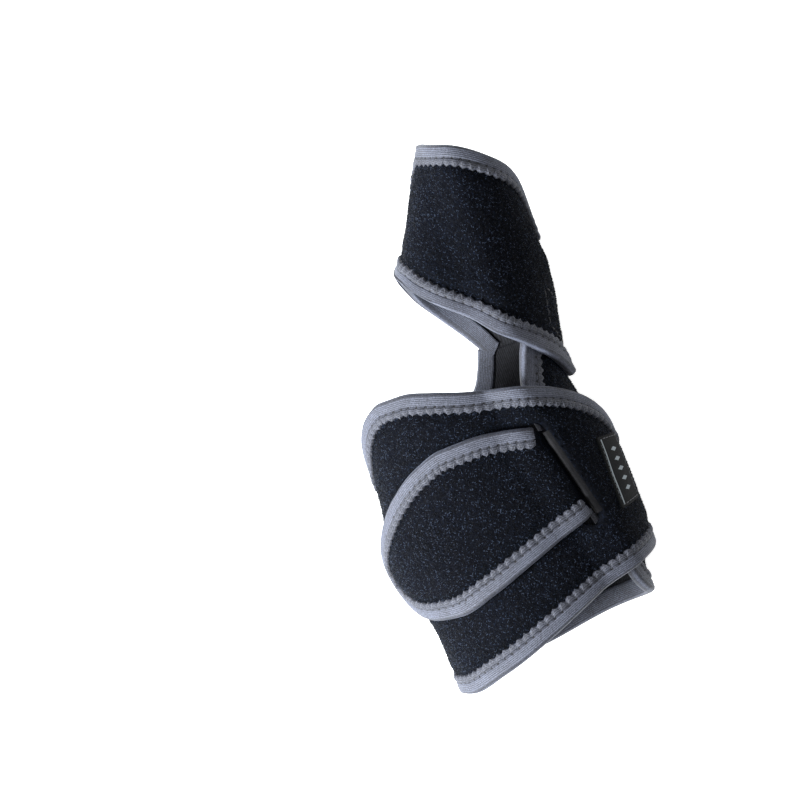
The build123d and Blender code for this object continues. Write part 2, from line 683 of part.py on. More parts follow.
ANCHOR_START = -58.0
ANCHOR_END = -43.0
ANCHOR_INSET = 2.0
with BuildPart() as closing_strap_stitching:
    for angle in (ANCHOR_START, ANCHOR_END):
        low = root_sheet.low(angle) + ANCHOR_INSET + 0.6
        high = root_sheet.high(angle) - ANCHOR_INSET - 0.6
        loft(thread_sections(root_sheet, [(angle, z) for z in evenly(low, high, 12)]))
    for rim_function, inset in ((root_sheet.low, ANCHOR_INSET), (root_sheet.high, -ANCHOR_INSET)):
        angles = evenly(ANCHOR_START - 0.8, ANCHOR_END + 0.8, 12)
        loft(thread_sections(root_sheet, [(angle, rim_function(angle) + inset) for angle in angles]))
closing_strap_stitching.part.label = "closing_strap_stitching"
export_step(closing_strap_stitching.part, "parts/closing_strap_stitching.step")

# ---- closing tab: the rounded end of the strap that presses onto the band ----
with BuildPart() as closing_tab:
    loft(tab_sheet.sections(44))
    split(bisect_by=hinge_plane(True), keep=Keep.TOP)
closing_tab.part.label = "closing_tab"
export_step(closing_tab.part, "parts/closing_tab.step")

tab_end_path = [(tab_sheet.end, z) for z in evenly(TAB_HIGH[-1][1], TAB_LOW[-1][1], 8)]
tab_path = high_rim(tab_sheet, 47, 180, 140) + tab_end_path[1:-1]
tab_path += list(reversed(low_rim(tab_sheet, 47, 180, 140)))
with BuildPart() as closing_tab_binding:
    loft(tape_sections(tab_sheet, tab_path, 1, 3.0))
    split(bisect_by=hinge_plane(True), keep=Keep.TOP)
closing_tab_binding.part.label = "closing_tab_binding"
export_step(closing_tab_binding.part, "parts/closing_tab_binding.step")

with BuildPart() as closing_tab_hook:
    loft(tab_hook_sheet.sections(12))
closing_tab_hook.part.label = "closing_tab_hook"
export_step(closing_tab_hook.part, "parts/closing_tab_hook.step")

# ---- woven label on the slotted end of the band ----
with BuildPart() as woven_label:
    loft(label_sheet.sections(6))
woven_label.part.label = "woven_label"
export_step(woven_label.part, "parts/woven_label.step")

LABEL_STITCH_INSET = 0.9
label_angles = (label_sheet.start + 1.3, label_sheet.end - 1.3)
with BuildPart() as label_stitching:
    for angle in label_angles:
        low = label_sheet.low(angle) + 2 * LABEL_STITCH_INSET
        high = label_sheet.high(angle) - 2 * LABEL_STITCH_INSET
        loft(thread_sections(label_sheet, [(angle, z) for z in evenly(low, high, 8)]))
    for rim_function, inset in ((label_sheet.low, 1), (label_sheet.high, -1)):
        angles = evenly(*label_angles, 8)
        row = [(angle, rim_function(angle) + inset * LABEL_STITCH_INSET) for angle in angles]
        loft(thread_sections(label_sheet, row, 2.5))
label_stitching.part.label = "label_stitching"
export_step(label_stitching.part, "parts/label_stitching.step")

# ---- thumb stay: a strip shaped to the thumb, closed in its own sleeve ----
with BuildPart() as thumb_stay:
    loft(thumb_stay_sheet.sections(8))
thumb_stay.part.label = "thumb_stay"
export_step(thumb_stay.part, "parts/thumb_stay.step")

with BuildPart() as thumb_stay_sleeve:
    loft([sleeve_sheet.section(angle, 33) for angle in spread(SLEEVE_START, SLEEVE_END, 18)])
thumb_stay_sleeve.part.label = "thumb_stay_sleeve"
export_step(thumb_stay_sleeve.part, "parts/thumb_stay_sleeve.step")

SLEEVE_STITCH_ANGLE = 2.2
SLEEVE_STITCH_Z = 1.2
with BuildPart() as sleeve_stitching:
    for angle in (SLEEVE_START + SLEEVE_STITCH_ANGLE, SLEEVE_END - SLEEVE_STITCH_ANGLE):
        levels = evenly(SLEEVE_LOW + 2 * SLEEVE_STITCH_Z, SLEEVE_HIGH - 2 * SLEEVE_STITCH_Z, 16)
        loft(thread_sections(sleeve_sheet, [(angle, z) for z in levels]))
    for z in (SLEEVE_LOW + SLEEVE_STITCH_Z, SLEEVE_HIGH - SLEEVE_STITCH_Z):
        angles = evenly(SLEEVE_START + SLEEVE_STITCH_ANGLE, SLEEVE_END - SLEEVE_STITCH_ANGLE, 12)
        loft(thread_sections(sleeve_sheet, [(angle, z) for angle in angles]))
sleeve_stitching.part.label = "sleeve_stitching"
export_step(sleeve_stitching.part, "parts/sleeve_stitching.step")

# ---- stay for the back of the wrist, with its two end caps and its open pocket ----
STAY_Y = WRIST_HALF_DEPTH + SKIN_LIFT + FABRIC + 1.5
ARC_CENTRE_Y = STAY_Y - STAY_RADIUS
CAP_GAP = 0.05
TUNNEL_CLEARANCE = 0.2
TUNNEL_HALF = STAY_WIDTH / 2 + CAP_THICKNESS + CAP_GAP + TUNNEL_CLEARANCE
FLANGE_WIDTH = 4.2
FLANGE_HALF = TUNNEL_HALF + FLANGE_WIDTH
FLANGE_RADIUS = STAY_RADIUS - 1.0
TUNNEL_RADIUS = STAY_RADIUS + STAY_THICKNESS + CAP_THICKNESS + CAP_GAP + TUNNEL_CLEARANCE
POCKET_BOTTOM_Z = -47.5
POCKET_TOP_Z = 10.5
POCKET_END = 1.6


def on_arc(radius, x):
    """A place on an arc round the middle line of the stay's curve."""
    return (STAY_MIDDLE_X + x, ARC_CENTRE_Y + math.sqrt(radius**2 - x**2))


def strip_face(radius, thickness, half_width, z, grow=0.0):
    """Curved strip seen along Z, grown on every side."""
    half = half_width + grow
    inner = radius - grow
    outer = radius + thickness + grow
    with BuildSketch(Plane.XY.offset(z)) as face:
        with BuildLine():
            ThreePointArc(on_arc(inner, -half), on_arc(inner, 0), on_arc(inner, half))
            Line(on_arc(inner, half), on_arc(outer, half))
            ThreePointArc(on_arc(outer, half), on_arc(outer, 0), on_arc(outer, -half))
            Line(on_arc(outer, -half), on_arc(inner, -half))
        make_face()
    return face.sketch


stay_length = STAY_TOP_Z - STAY_BOTTOM_Z
with BuildPart() as dorsal_stay:
    add(strip_face(STAY_RADIUS, STAY_THICKNESS, STAY_WIDTH / 2, STAY_BOTTOM_Z))
    extrude(amount=stay_length)
    fillet(dorsal_stay.edges().filter_by(Axis.Y), radius=3)
dorsal_stay.part.label = "dorsal_stay"
export_step(dorsal_stay.part, "parts/dorsal_stay.step")

with BuildPart() as stay_end_caps:
    for cap_z in (STAY_BOTTOM_Z - CAP_THICKNESS - CAP_GAP, STAY_TOP_Z + CAP_THICKNESS + CAP_GAP - CAP_LENGTH):
        add(strip_face(STAY_RADIUS, STAY_THICKNESS, STAY_WIDTH / 2, cap_z, CAP_GAP + CAP_THICKNESS))
        extrude(amount=CAP_LENGTH)
    add(strip_face(STAY_RADIUS, STAY_THICKNESS, STAY_WIDTH / 2, STAY_BOTTOM_Z - CAP_GAP, CAP_GAP))
    extrude(amount=stay_length + 2 * CAP_GAP, mode=Mode.SUBTRACT)
stay_end_caps.part.label = "stay_end_caps"
export_step(stay_end_caps.part, "parts/stay_end_caps.step")

with BuildPart() as dorsal_pocket:
    add(strip_face(FLANGE_RADIUS, POCKET_FABRIC, FLANGE_HALF, POCKET_BOTTOM_Z))
    extrude(amount=POCKET_TOP_Z - POCKET_BOTTOM_Z)
    tunnel_outer = TUNNEL_RADIUS + POCKET_FABRIC - FLANGE_RADIUS
    add(strip_face(FLANGE_RADIUS, tunnel_outer, TUNNEL_HALF + POCKET_FABRIC, POCKET_BOTTOM_Z))
    extrude(amount=POCKET_TOP_Z - POCKET_BOTTOM_Z)
    tunnel_height = TUNNEL_RADIUS - FLANGE_RADIUS
    add(strip_face(FLANGE_RADIUS - 1, tunnel_height + 1, TUNNEL_HALF, POCKET_BOTTOM_Z - 1))
    extrude(amount=POCKET_TOP_Z - POCKET_END - POCKET_BOTTOM_Z + 1, mode=Mode.SUBTRACT)
dorsal_pocket.part.label = "dorsal_pocket"
export_step(dorsal_pocket.part, "parts/dorsal_pocket.step")

# ---- stitching of the pocket: down both flanges and across its closed end ----
POCKET_STITCH_HALF = TUNNEL_HALF + 2.4
POCKET_STITCH_END = 2.0
with BuildPart() as pocket_stitching:
    for side in (-1, 1):
        x, y = on_arc(FLANGE_RADIUS + POCKET_FABRIC + THREAD_GAP, side * POCKET_STITCH_HALF)
        with Locations((x, y + THREAD_HEIGHT, (POCKET_BOTTOM_Z + POCKET_TOP_Z) / 2)):
            Box(THREAD_WIDTH, THREAD_HEIGHT, POCKET_TOP_Z - POCKET_BOTTOM_Z - 2 * POCKET_STITCH_END)
pocket_stitching.part.label = "pocket_stitching"
export_step(pocket_stitching.part, "parts/pocket_stitching.step")
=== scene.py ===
import json
import math

import bpy
import numpy as np
from mathutils import Matrix, Vector


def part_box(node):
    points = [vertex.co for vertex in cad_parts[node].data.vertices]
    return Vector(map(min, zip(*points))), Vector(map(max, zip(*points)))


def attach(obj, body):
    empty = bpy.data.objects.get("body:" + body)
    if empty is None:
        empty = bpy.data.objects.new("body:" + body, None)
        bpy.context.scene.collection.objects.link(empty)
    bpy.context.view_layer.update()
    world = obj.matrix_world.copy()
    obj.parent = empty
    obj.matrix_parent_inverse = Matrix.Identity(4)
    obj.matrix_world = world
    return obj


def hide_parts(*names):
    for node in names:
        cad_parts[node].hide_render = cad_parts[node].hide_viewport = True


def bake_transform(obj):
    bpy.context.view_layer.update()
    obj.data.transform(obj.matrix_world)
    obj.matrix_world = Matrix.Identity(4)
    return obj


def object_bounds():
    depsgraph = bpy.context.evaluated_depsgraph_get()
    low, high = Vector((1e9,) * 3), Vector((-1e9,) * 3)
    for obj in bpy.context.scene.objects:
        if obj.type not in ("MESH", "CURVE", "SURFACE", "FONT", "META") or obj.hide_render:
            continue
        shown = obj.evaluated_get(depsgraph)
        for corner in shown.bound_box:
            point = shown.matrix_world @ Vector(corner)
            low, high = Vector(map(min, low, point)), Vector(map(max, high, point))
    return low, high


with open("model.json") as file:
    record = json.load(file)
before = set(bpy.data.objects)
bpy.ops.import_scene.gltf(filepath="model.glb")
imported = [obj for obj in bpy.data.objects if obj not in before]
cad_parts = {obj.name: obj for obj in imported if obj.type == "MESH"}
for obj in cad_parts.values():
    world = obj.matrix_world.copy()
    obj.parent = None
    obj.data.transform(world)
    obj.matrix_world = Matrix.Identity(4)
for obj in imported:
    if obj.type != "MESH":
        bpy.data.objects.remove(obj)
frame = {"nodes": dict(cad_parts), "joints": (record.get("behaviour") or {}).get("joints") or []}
cad_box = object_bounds()

# Everything below is worked out in millimetres and turned into metres when a mesh is made.
MM = 0.001
rng = np.random.default_rng(7)
FINE = 1.0

# ---- driving dimensions, the same as the CAD model's ----
FABRIC = 2.0
STRAP_FABRIC = 1.6
BAND_FABRIC = 1.8
TAPE = 0.45
TAPE_GAP = 0.22
LAYER_GAP = 0.26
THREAD_GAP = 0.10
HOOK = 0.5
ARM_AXIS = (0.0, 0.0)
THUMB_AXIS = (18.0, -4.0)
FOREARM_HALF_WIDTH = 32.0
WRIST_HALF_DEPTH = 22.0
THUMB_HALF_DEPTH = 12.0
THUMB_FORWARD = 9.0
NECK_SEAM_Z = 40.0
SLOT_ANGLE = 50.5
SLOT_MIDDLE_Z = -6.6
SLOT_LEAN = 0.50
SLOT_CENTRE_Z = -4.6
SLOT_LENGTH = 38.0
SLOT_WIDTH = 7.0
STRAP_SPLIT_ANGLE = 50.0

SKIN_LIFT = TAPE + TAPE_GAP
UNDER_TOP = SKIN_LIFT + FABRIC + TAPE_GAP + TAPE
OVER_LIFT = UNDER_TOP + LAYER_GAP + TAPE_GAP + TAPE
STRAP_LIFT = UNDER_TOP + 0.15
STRAP_CREST = 2.05
LIP_LIFT = STRAP_LIFT + STRAP_FABRIC + 1.15
TAB_LIFT = SKIN_LIFT + BAND_FABRIC + LAYER_GAP + TAPE_GAP + TAPE + 0.05


# ---- the arm form that the fabric is shaped on ----
def ease(value, start, end):
    share = np.clip((value - start) / (end - start), 0.0, 1.0)
    return share * share * (3.0 - 2.0 * share)


def bell(z, middle, width):
    return np.exp(-(((z - middle) / width) ** 2))


def ramp(z, start, width):
    return width * np.log1p(np.exp((z - start) / width))


def thumb_side(z):
    return FOREARM_HALF_WIDTH - 4.0 * bell(z, 32.0, 17.0) + 0.4 * bell(z, -18.0, 20.0)


def little_finger_side(z):
    widening = 3.4 / (1.0 + np.exp(-(z + 33.0) / 4.0))
    ulna_head = 3.2 * bell(z, -14.0, 14.0)
    web = 0.95 * ramp(z, 42.0, 4.0) - 0.42 * ramp(z, 76.0, 4.0)
    return -FOREARM_HALF_WIDTH - widening - ulna_head + web


def form_point(axis, angle, z, height):
    """The place on the form, `height` off its skin, in one direction from an upright axis."""
    angle, z, height = np.broadcast_arrays(angle, z, height)
    toward_thumb = ease(z, 30.0, 105.0)
    right, left = thumb_side(z), little_finger_side(z)
    half_width = (right - left) / 2 + height
    half_depth = WRIST_HALF_DEPTH + (THUMB_HALF_DEPTH - WRIST_HALF_DEPTH) * toward_thumb + height
    along_x = np.cos(np.radians(angle))
    along_y = -np.sin(np.radians(angle))
    off_x = (right + left) / 2 - axis[0]
    off_y = -THUMB_FORWARD * toward_thumb - axis[1]
    square = (along_x / half_width) ** 2 + (along_y / half_depth) ** 2
    linear = along_x * off_x / half_width**2 + along_y * off_y / half_depth**2
    rest = (off_x / half_width) ** 2 + (off_y / half_depth) ** 2 - 1.0
    distance = (linear + np.sqrt(linear**2 - square * rest)) / square
    return np.stack([axis[0] + distance * along_x, axis[1] + distance * along_y, z], axis=-1)


class Rim:
    """Smooth curve through (angle, z) knots that never overshoots between them."""

    def __init__(self, knots, shift=0.0):
        self.at, self.level = np.array(knots, float).T
        self.level = self.level + shift
        slopes = np.diff(self.level) / np.diff(self.at)
        before, after = slopes[:-1], slopes[1:]
        same_way = before * after > 0
        total = np.where(same_way, before + after, 1.0)
        inner = np.where(same_way, 2.0 * before * after / total, 0.0)
        self.tangent = np.concatenate([slopes[:1], inner, slopes[-1:]])

    def __call__(self, angle):
        angle = np.clip(angle, self.at[0], self.at[-1])
        span = np.clip(np.searchsorted(self.at, angle, side="right") - 1, 0, len(self.at) - 2)
        step = self.at[span + 1] - self.at[span]
        t = (angle - self.at[span]) / step
        rise_start = (1 + 2 * t) * (1 - t) ** 2 * self.level[span]
        rise_end = t * t * (3 - 2 * t) * self.level[span + 1]
        lean_start = t * (1 - t) ** 2 * step * self.tangent[span]
        lean_end = t * t * (t - 1) * step * self.tangent[span + 1]
        return rise_start + rise_end + lean_start + lean_end


def flat(level):
    return lambda angle: np.full_like(np.asarray(angle, float), level)


def straight_angle(angle, z):
    return angle - SLOT_LEAN * (z - SLOT_MIDDLE_Z)


def leaning_angle(straight, z):
    return straight + SLOT_LEAN * (z - SLOT_MIDDLE_Z)


def panel_lift(angle, z):
    return SKIN_LIFT


def band_lift(angle, z):
    past_slot = ease(straight_angle(angle, z), 42.0, 66.0)
    at_seam = ease(angle, 186.0, 203.0)
    return LIP_LIFT + (SKIN_LIFT - LIP_LIFT) * past_slot + (OVER_LIFT - SKIN_LIFT) * at_seam


def strap_lift(angle, z):
    straight = straight_angle(angle, z)
    crest = STRAP_LIFT + STRAP_CREST * ease(straight, 46.0, 55.5)
    return crest + (TAB_LIFT - STRAP_LIFT - STRAP_CREST) * ease(straight, 57.0, 76.0)


def wing_lift(angle, z):
    return OVER_LIFT + (SKIN_LIFT - OVER_LIFT) * ease(angle, 84.0, 118.0)


# ---- rims of the fabric pieces, as (angle, z) ----
MAIN_LOW = (
    (-150.0, -59.5), (-90.0, -57.0), (-40.0, -53.0), (0.0, -50.3), (9.0, -49.0), (17.0, -45.5),
    (23.0, -39.0), (28.5, -30.0), (33.5, -20.0), (38.5, -8.0), (44.0, 4.0), (48.0, 12.0), (49.5, 16.0),
)
MAIN_HIGH = (
    (-150.0, 9.0), (-135.0, 13.0), (-120.0, 18.0), (-105.0, 21.5), (-90.0, 25.0), (-78.0, 30.0),
    (-70.0, 36.0), (-62.0, 43.0), (-50.0, 46.0), (20.0, 46.0), (30.0, 42.5), (36.0, 37.7),
    (40.0, 33.5), (47.0, 25.5), (49.5, 20.5),
)
BACK_LOW = (
    (178.0, 75.5), (205.0, 69.0), (223.0, 61.5), (240.0, 52.0), (250.0, 45.0), (259.0, 38.0),
    (275.0, 35.0), (424.0, 35.0),
)
BACK_HIGH = (
    (178.0, 103.5), (205.0, 99.0), (240.0, 92.0), (270.0, 88.0), (300.0, 84.0), (330.0, 78.0),
    (360.0, 69.0), (375.0, 63.0), (390.0, 56.0), (405.0, 50.0), (418.0, 44.5), (424.0, 42.0),
)
WING_LOW = (
    (-6.0, 24.5), (0.0, 25.5), (26.0, 30.6), (63.0, 36.7), (96.0, 44.5), (115.0, 52.3),
    (131.0, 59.0), (145.0, 65.5), (156.0, 70.0), (182.0, 75.5),
)
WING_HIGH = (
    (-6.0, 70.0), (0.0, 73.5), (8.0, 78.5), (15.0, 84.0), (26.0, 88.8), (58.0, 97.0), (90.0, 104.5),
    (120.0, 108.0), (146.0, 108.5), (182.0, 103.5),
)
BAND_LOW = (
    (-38.0, -23.0), (-36.8, -27.0), (-33.0, -31.0), (-24.0, -34.0), (0.0, -35.5), (26.0, -38.3),
    (50.0, -42.5), (93.0, -50.0), (137.0, -57.1), (162.0, -60.3), (178.0, -60.0), (232.0, -59.5),
)
BAND_HIGH = (
    (-38.0, -12.0), (-36.8, -8.0), (-33.0, -4.5), (-22.0, -1.5), (4.0, 5.6), (12.0, 10.5),
    (22.0, 15.3), (33.0, 19.3), (45.0, 22.4), (67.0, 26.2), (97.0, 29.6), (117.0, 32.6),
    (136.0, 35.0), (149.0, 35.1), (160.0, 32.5), (170.0, 27.0), (180.0, 18.5), (192.0, 12.5),
    (208.0, 9.8), (232.0, 9.2),
)
TAB_LOW = (
    (40.0, -17.5), (50.0, -19.4), (72.0, -23.2), (96.0, -27.2), (120.0, -31.4), (143.0, -34.7),
    (156.0, -34.3), (168.0, -32.0), (175.0, -28.0), (180.0, -22.5),
)
TAB_HIGH = (
    (40.0, 9.0), (58.0, 11.2), (79.0, 13.8), (100.0, 15.0), (121.0, 14.7), (138.0, 11.7),
    (155.0, 5.5), (168.0, -2.4), (176.0, -9.0), (180.0, -14.0),
)
ROOT_LOW = ((-60.0, -34.5), (-30.0, -32.0), (0.0, -27.0), (40.0, -17.5), (50.0, -19.4), (75.0, -23.6))
ROOT_HIGH = ((-60.0, -7.5), (-20.0, -5.5), (10.0, 1.5), (40.0, 9.0), (58.0, 11.2), (75.0, 13.3))
LABEL_LOW = ((11.0, -20.2), (29.0, -21.4))
LABEL_HIGH = ((11.0, 1.8), (29.0, 2.5))


class Sheet:
    """One piece of fabric wrapped on the form: its rims over the angle, its lift and thickness."""

    def __init__(self, axis, start, end, low, high, lift, thickness):
        self.axis = axis
        self.start = start
        self.end = end
        self.low = low
        self.high = high
        self.lift = lift
        self.thickness = thickness

    def point(self, angle, z, depth):
        return form_point(self.axis, angle, z, self.lift(angle, z) + depth)

    def axes(self, angle, z, depth=0.0):
        """Change of place per degree and per millimetre of z, and the way out."""
        step = 0.05
        per_degree = self.point(angle + step, z, depth) - self.point(angle - step, z, depth)
        per_z = self.point(angle, z + step, depth) - self.point(angle, z - step, depth)
        outward = unit(np.cross(per_z, per_degree))
        away = self.point(angle, z, depth + 1.0) - self.point(angle, z, depth)
        outward *= np.sign(dot(outward, away))[..., None]
        return per_degree / (2 * step), per_z / (2 * step), outward


def unit(vectors):
    return vectors / np.maximum(np.linalg.norm(vectors, axis=-1, keepdims=True), 1e-12)


def dot(a, b):
    return (a * b).sum(axis=-1)


def above(lift, height):
    return lambda angle, z: lift(angle, z) + height


def seam_capped(high):
    return lambda angle: np.minimum(high(angle), NECK_SEAM_Z)


def seam_floored(low):
    return lambda angle: np.maximum(low(angle), NECK_SEAM_Z)


HOOK_DROP = HOOK + THREAD_GAP
HOOK_INSET = 9.0
WING_HOOK_LOW = 8.0
WING_HOOK_HIGH = 23.0
SLEEVE_START = 290.0
SLEEVE_END = 326.0
SLEEVE_LOW = 13.0
SLEEVE_HIGH = 69.0
SLEEVE_BASE = SKIN_LIFT + FABRIC + 0.40
SLEEVE_RISE = 1.42


def sleeve_lift(angle, z):
    over = ease(angle, SLEEVE_START, SLEEVE_START + 6.0) * ease(-angle, -SLEEVE_END, 6.0 - SLEEVE_END)
    over = over * ease(z, SLEEVE_LOW, SLEEVE_LOW + 4.5) * ease(-z, -SLEEVE_HIGH, 4.5 - SLEEVE_HIGH)
    return SLEEVE_BASE + SLEEVE_RISE * over


main_sheet = Sheet(ARM_AXIS, -150, 49.5, Rim(MAIN_LOW), seam_capped(Rim(MAIN_HIGH)), panel_lift, FABRIC)
back_sheet = Sheet(THUMB_AXIS, 180, 423, seam_floored(Rim(BACK_LOW)), Rim(BACK_HIGH), panel_lift, FABRIC)
wing_sheet = Sheet(THUMB_AXIS, -6, 180, Rim(WING_LOW), Rim(WING_HIGH), wing_lift, BAND_FABRIC)
band_sheet = Sheet(ARM_AXIS, -38, 232, Rim(BAND_LOW), Rim(BAND_HIGH), band_lift, BAND_FABRIC)
tab_sheet = Sheet(ARM_AXIS, 45, 180, Rim(TAB_LOW), Rim(TAB_HIGH), strap_lift, STRAP_FABRIC)
root_sheet = Sheet(ARM_AXIS, -60, 74, Rim(ROOT_LOW), Rim(ROOT_HIGH), strap_lift, STRAP_FABRIC)
label_lift = above(band_lift, BAND_FABRIC + THREAD_GAP)
label_sheet = Sheet(ARM_AXIS, 11, 29, Rim(LABEL_LOW), Rim(LABEL_HIGH), label_lift, 0.35)
sleeve_sheet = Sheet(
    THUMB_AXIS, SLEEVE_START, SLEEVE_END, flat(SLEEVE_LOW), flat(SLEEVE_HIGH), sleeve_lift, 0.7
)
tab_hook_sheet = Sheet(
    ARM_AXIS, 118, 163, Rim(TAB_LOW, HOOK_INSET), Rim(TAB_HIGH, -HOOK_INSET),
    above(strap_lift, -HOOK_DROP), HOOK,
)
wing_hook_sheet = Sheet(
    THUMB_AXIS, -3, 34, Rim(WING_LOW, WING_HOOK_LOW), Rim(WING_LOW, WING_HOOK_HIGH),
    above(wing_lift, -HOOK_DROP), HOOK,
)


# ---- smooth random waves for folds and pile ----
class Waves:
    """A sum of plane waves in random directions, about -1 to 1, over places in millimetres."""

    def __init__(self, wavelength, count=12):
        self.directions = unit(rng.normal(size=(count, 3))) * (2 * math.pi / wavelength)
        self.directions *= rng.uniform(0.7, 1.4, size=(count, 1))
        self.offsets = rng.uniform(0, 2 * math.pi, size=count)

    def __call__(self, places):
        total = np.zeros(places.shape[:-1])
        for direction, offset in zip(self.directions, self.offsets):
            total += np.sin(places @ direction + offset)
        return total / math.sqrt(len(self.offsets))


broad_folds = Waves(34.0, 7)
small_folds = Waves(11.0, 9)
BROAD_FOLD = 0.16
SMALL_FOLD = 0.09
PILE_GRAIN = 0.10
CROWN = 0.65
TAB_CROWN = 0.85
CROWN_START = 4.6
CROWN_END = 9.5


def edge_distance(places, rim_places):
    """How far each place is from the nearest place on a rim."""
    flat_places = places.reshape(-1, 3)
    nearest = np.empty(len(flat_places))
    for start in range(0, len(flat_places), 4000):
        block = flat_places[start:start + 4000]
        square = ((block[:, None, :] - rim_places[None, :, :]) ** 2).sum(-1)
        nearest[start:start + 4000] = np.sqrt(square.min(axis=1))
    return nearest.reshape(places.shape[:-1])


def rim_places(sheet, count=260, ends=True):
    angles = np.linspace(sheet.start, sheet.end, count)
    parts = [sheet.point(angles, sheet.low(angles), 0.0), sheet.point(angles, sheet.high(angles), 0.0)]
    if ends:
        share = np.linspace(0, 1, 40)
        low, high = sheet.low(np.array(sheet.end)), sheet.high(np.array(sheet.end))
        parts.append(sheet.point(np.full(40, float(sheet.end)), low + share * (high - low), 0.0))
    return np.concatenate(parts)


# ---- mesh helpers ----
def mesh_object(name, places, faces, material, uv=None):
    mesh = bpy.data.meshes.new(name)
    mesh.from_pydata((np.asarray(places) * MM).tolist(), [], np.asarray(faces).tolist())
    mesh.materials.append(material)
    if uv is not None:
        loops = np.empty(len(mesh.loops), np.int32)
        mesh.loops.foreach_get("vertex_index", loops)
        layer = mesh.uv_layers.new(name="fabric")
        layer.data.foreach_set("uv", np.asarray(uv, float)[loops].ravel())
    mesh.polygons.foreach_set("use_smooth", [True] * len(mesh.polygons))
    mesh.update()
    made = bpy.data.objects.new(name, mesh)
    bpy.context.scene.collection.objects.link(made)
    return made


def grid_faces(rows, columns, keep=None):
    """Quads of a grid of vertices, only where keep is true when it is given."""
    index = np.arange(rows * columns).reshape(rows, columns)
    quads = np.stack([index[:-1, :-1], index[1:, :-1], index[1:, 1:], index[:-1, 1:]], axis=-1)
    if keep is not None:
        quads = quads[keep]
    return quads.reshape(-1, 4)


def open_edges(quads):
    """Directed edges that only one quad uses."""
    ahead = np.concatenate([quads[:, [i, (i + 1) % 4]] for i in range(4)])
    ordered = np.sort(ahead, axis=1)
    _, first, counts = np.unique(ordered, axis=0, return_index=True, return_counts=True)
    return ahead[first[counts == 1]]


def shell_piece(name, outer, inner, uv, material, keep=None):
    """A closed piece of cloth from an outer and an inner grid, and its count of outer quads."""
    quads = grid_faces(*outer.shape[:2], keep)
    places = np.concatenate([outer.reshape(-1, 3), inner.reshape(-1, 3)])
    total = len(places) // 2
    rims = open_edges(quads)
    walls = np.stack([rims[:, 1], rims[:, 0], rims[:, 0] + total, rims[:, 1] + total], axis=-1)
    faces = np.concatenate([quads, quads[:, ::-1] + total, walls])
    used = np.unique(faces)
    renumber = np.full(len(places), -1)
    renumber[used] = np.arange(len(used))
    both_uv = np.concatenate([uv.reshape(-1, 2)] * 2)[used]
    return mesh_object(name, places[used], renumber[faces], material, both_uv), len(quads)


def strip_piece(name, spine, half, material):
    """Narrow curved strips, each through four places, `half` to either side of them."""
    places = np.stack([spine - half[:, None], spine + half[:, None]], axis=2).reshape(-1, 3)
    steps = np.arange(3)
    quad = np.stack([2 * steps, 2 * steps + 1, 2 * steps + 3, 2 * steps + 2], axis=-1)
    faces = (np.arange(len(spine)) * 8)[:, None, None] + quad[None]
    return mesh_object(name, places, faces.reshape(-1, 4), material)


def path_lengths(places):
    """Distance along a row of places, from its first one."""
    steps = np.linalg.norm(np.diff(places, axis=0), axis=1)
    return np.concatenate([[0], np.cumsum(steps)])


def even_angles(sheet, start, end, spacing):
    """Angles whose places on the sheet are evenly spaced."""
    trial = np.linspace(start, end, 400)
    middle = (sheet.low(trial) + sheet.high(trial)) / 2
    lengths = path_lengths(sheet.point(trial, middle, 0.0))
    count = max(6, int(lengths[-1] / spacing))
    return np.interp(np.linspace(0, lengths[-1], count), lengths, trial)


def fabric_grid(sheet, spacing):
    """Angles and levels of a grid over a sheet."""
    angles = even_angles(sheet, sheet.start, sheet.end, spacing)
    tallest = (sheet.high(angles) - sheet.low(angles)).max()
    share = np.linspace(0, 1, max(6, int(tallest / spacing)))
    low, high = sheet.low(angles)[:, None], sheet.high(angles)[:, None]
    levels = low + share[None, :] * (high - low)
    return np.broadcast_to(angles[:, None], levels.shape).copy(), levels


def outer_depth(sheet, angles, levels, rims, crown):
    """Depth of the padded face: pressed flat under the tape and fuller in the middle."""
    base = sheet.point(angles, levels, 0.0)
    fullness = ease(edge_distance(base, rims), CROWN_START, CROWN_END)
    folds = BROAD_FOLD * broad_folds(base) + SMALL_FOLD * small_folds(base)
    return sheet.thickness + fullness * (crown + folds)


def plush_piece(name, sheet, angles, levels, rims, keep=None, crown=CROWN):
    """Cloth with plush on its outer face and jersey on its inner one."""
    depth = outer_depth(sheet, angles, levels, rims, crown)
    grain = rng.normal(size=depth.shape) * PILE_GRAIN
    grain[0, :] = grain[-1, :] = grain[:, 0] = grain[:, -1] = 0.0
    inner = sheet.point(angles, levels, 0.0)
    across = path_lengths(inner[:, angles.shape[1] // 2])
    uv = np.stack([np.broadcast_to(across[:, None], levels.shape), levels], axis=-1) * MM
    made, count = shell_piece(name, sheet.point(angles, levels, depth + grain), inner, uv, plush, keep)
    made.data.materials.append(jersey)
    inner_face = np.zeros(len(made.data.polygons), np.int32)
    inner_face[count:2 * count] = 1
    made.data.polygons.foreach_set("material_index", inner_face)
    return made


# ---- how the elastic tape is folded and sewn ----
TAPE_REACH = 5.1
TAPE_SPACING = 0.42 * FINE
SCALLOP = 0.75
SCALLOP_PITCH = 2.75
RIBBED_WIDTH = 2.9
RIB_PITCH = 0.58
PICK_PITCH = 0.38
SEWN_DARKENING = 0.10


# ---- materials ----
def new_material(name):
    material = bpy.data.materials.new(name)
    material.use_nodes = True
    tree = material.node_tree
    tree.nodes.clear()
    output = tree.nodes.new("ShaderNodeOutputMaterial")
    surface = tree.nodes.new("ShaderNodeBsdfPrincipled")
    tree.links.new(surface.outputs["BSDF"], output.inputs["Surface"])
    return material, tree, surface


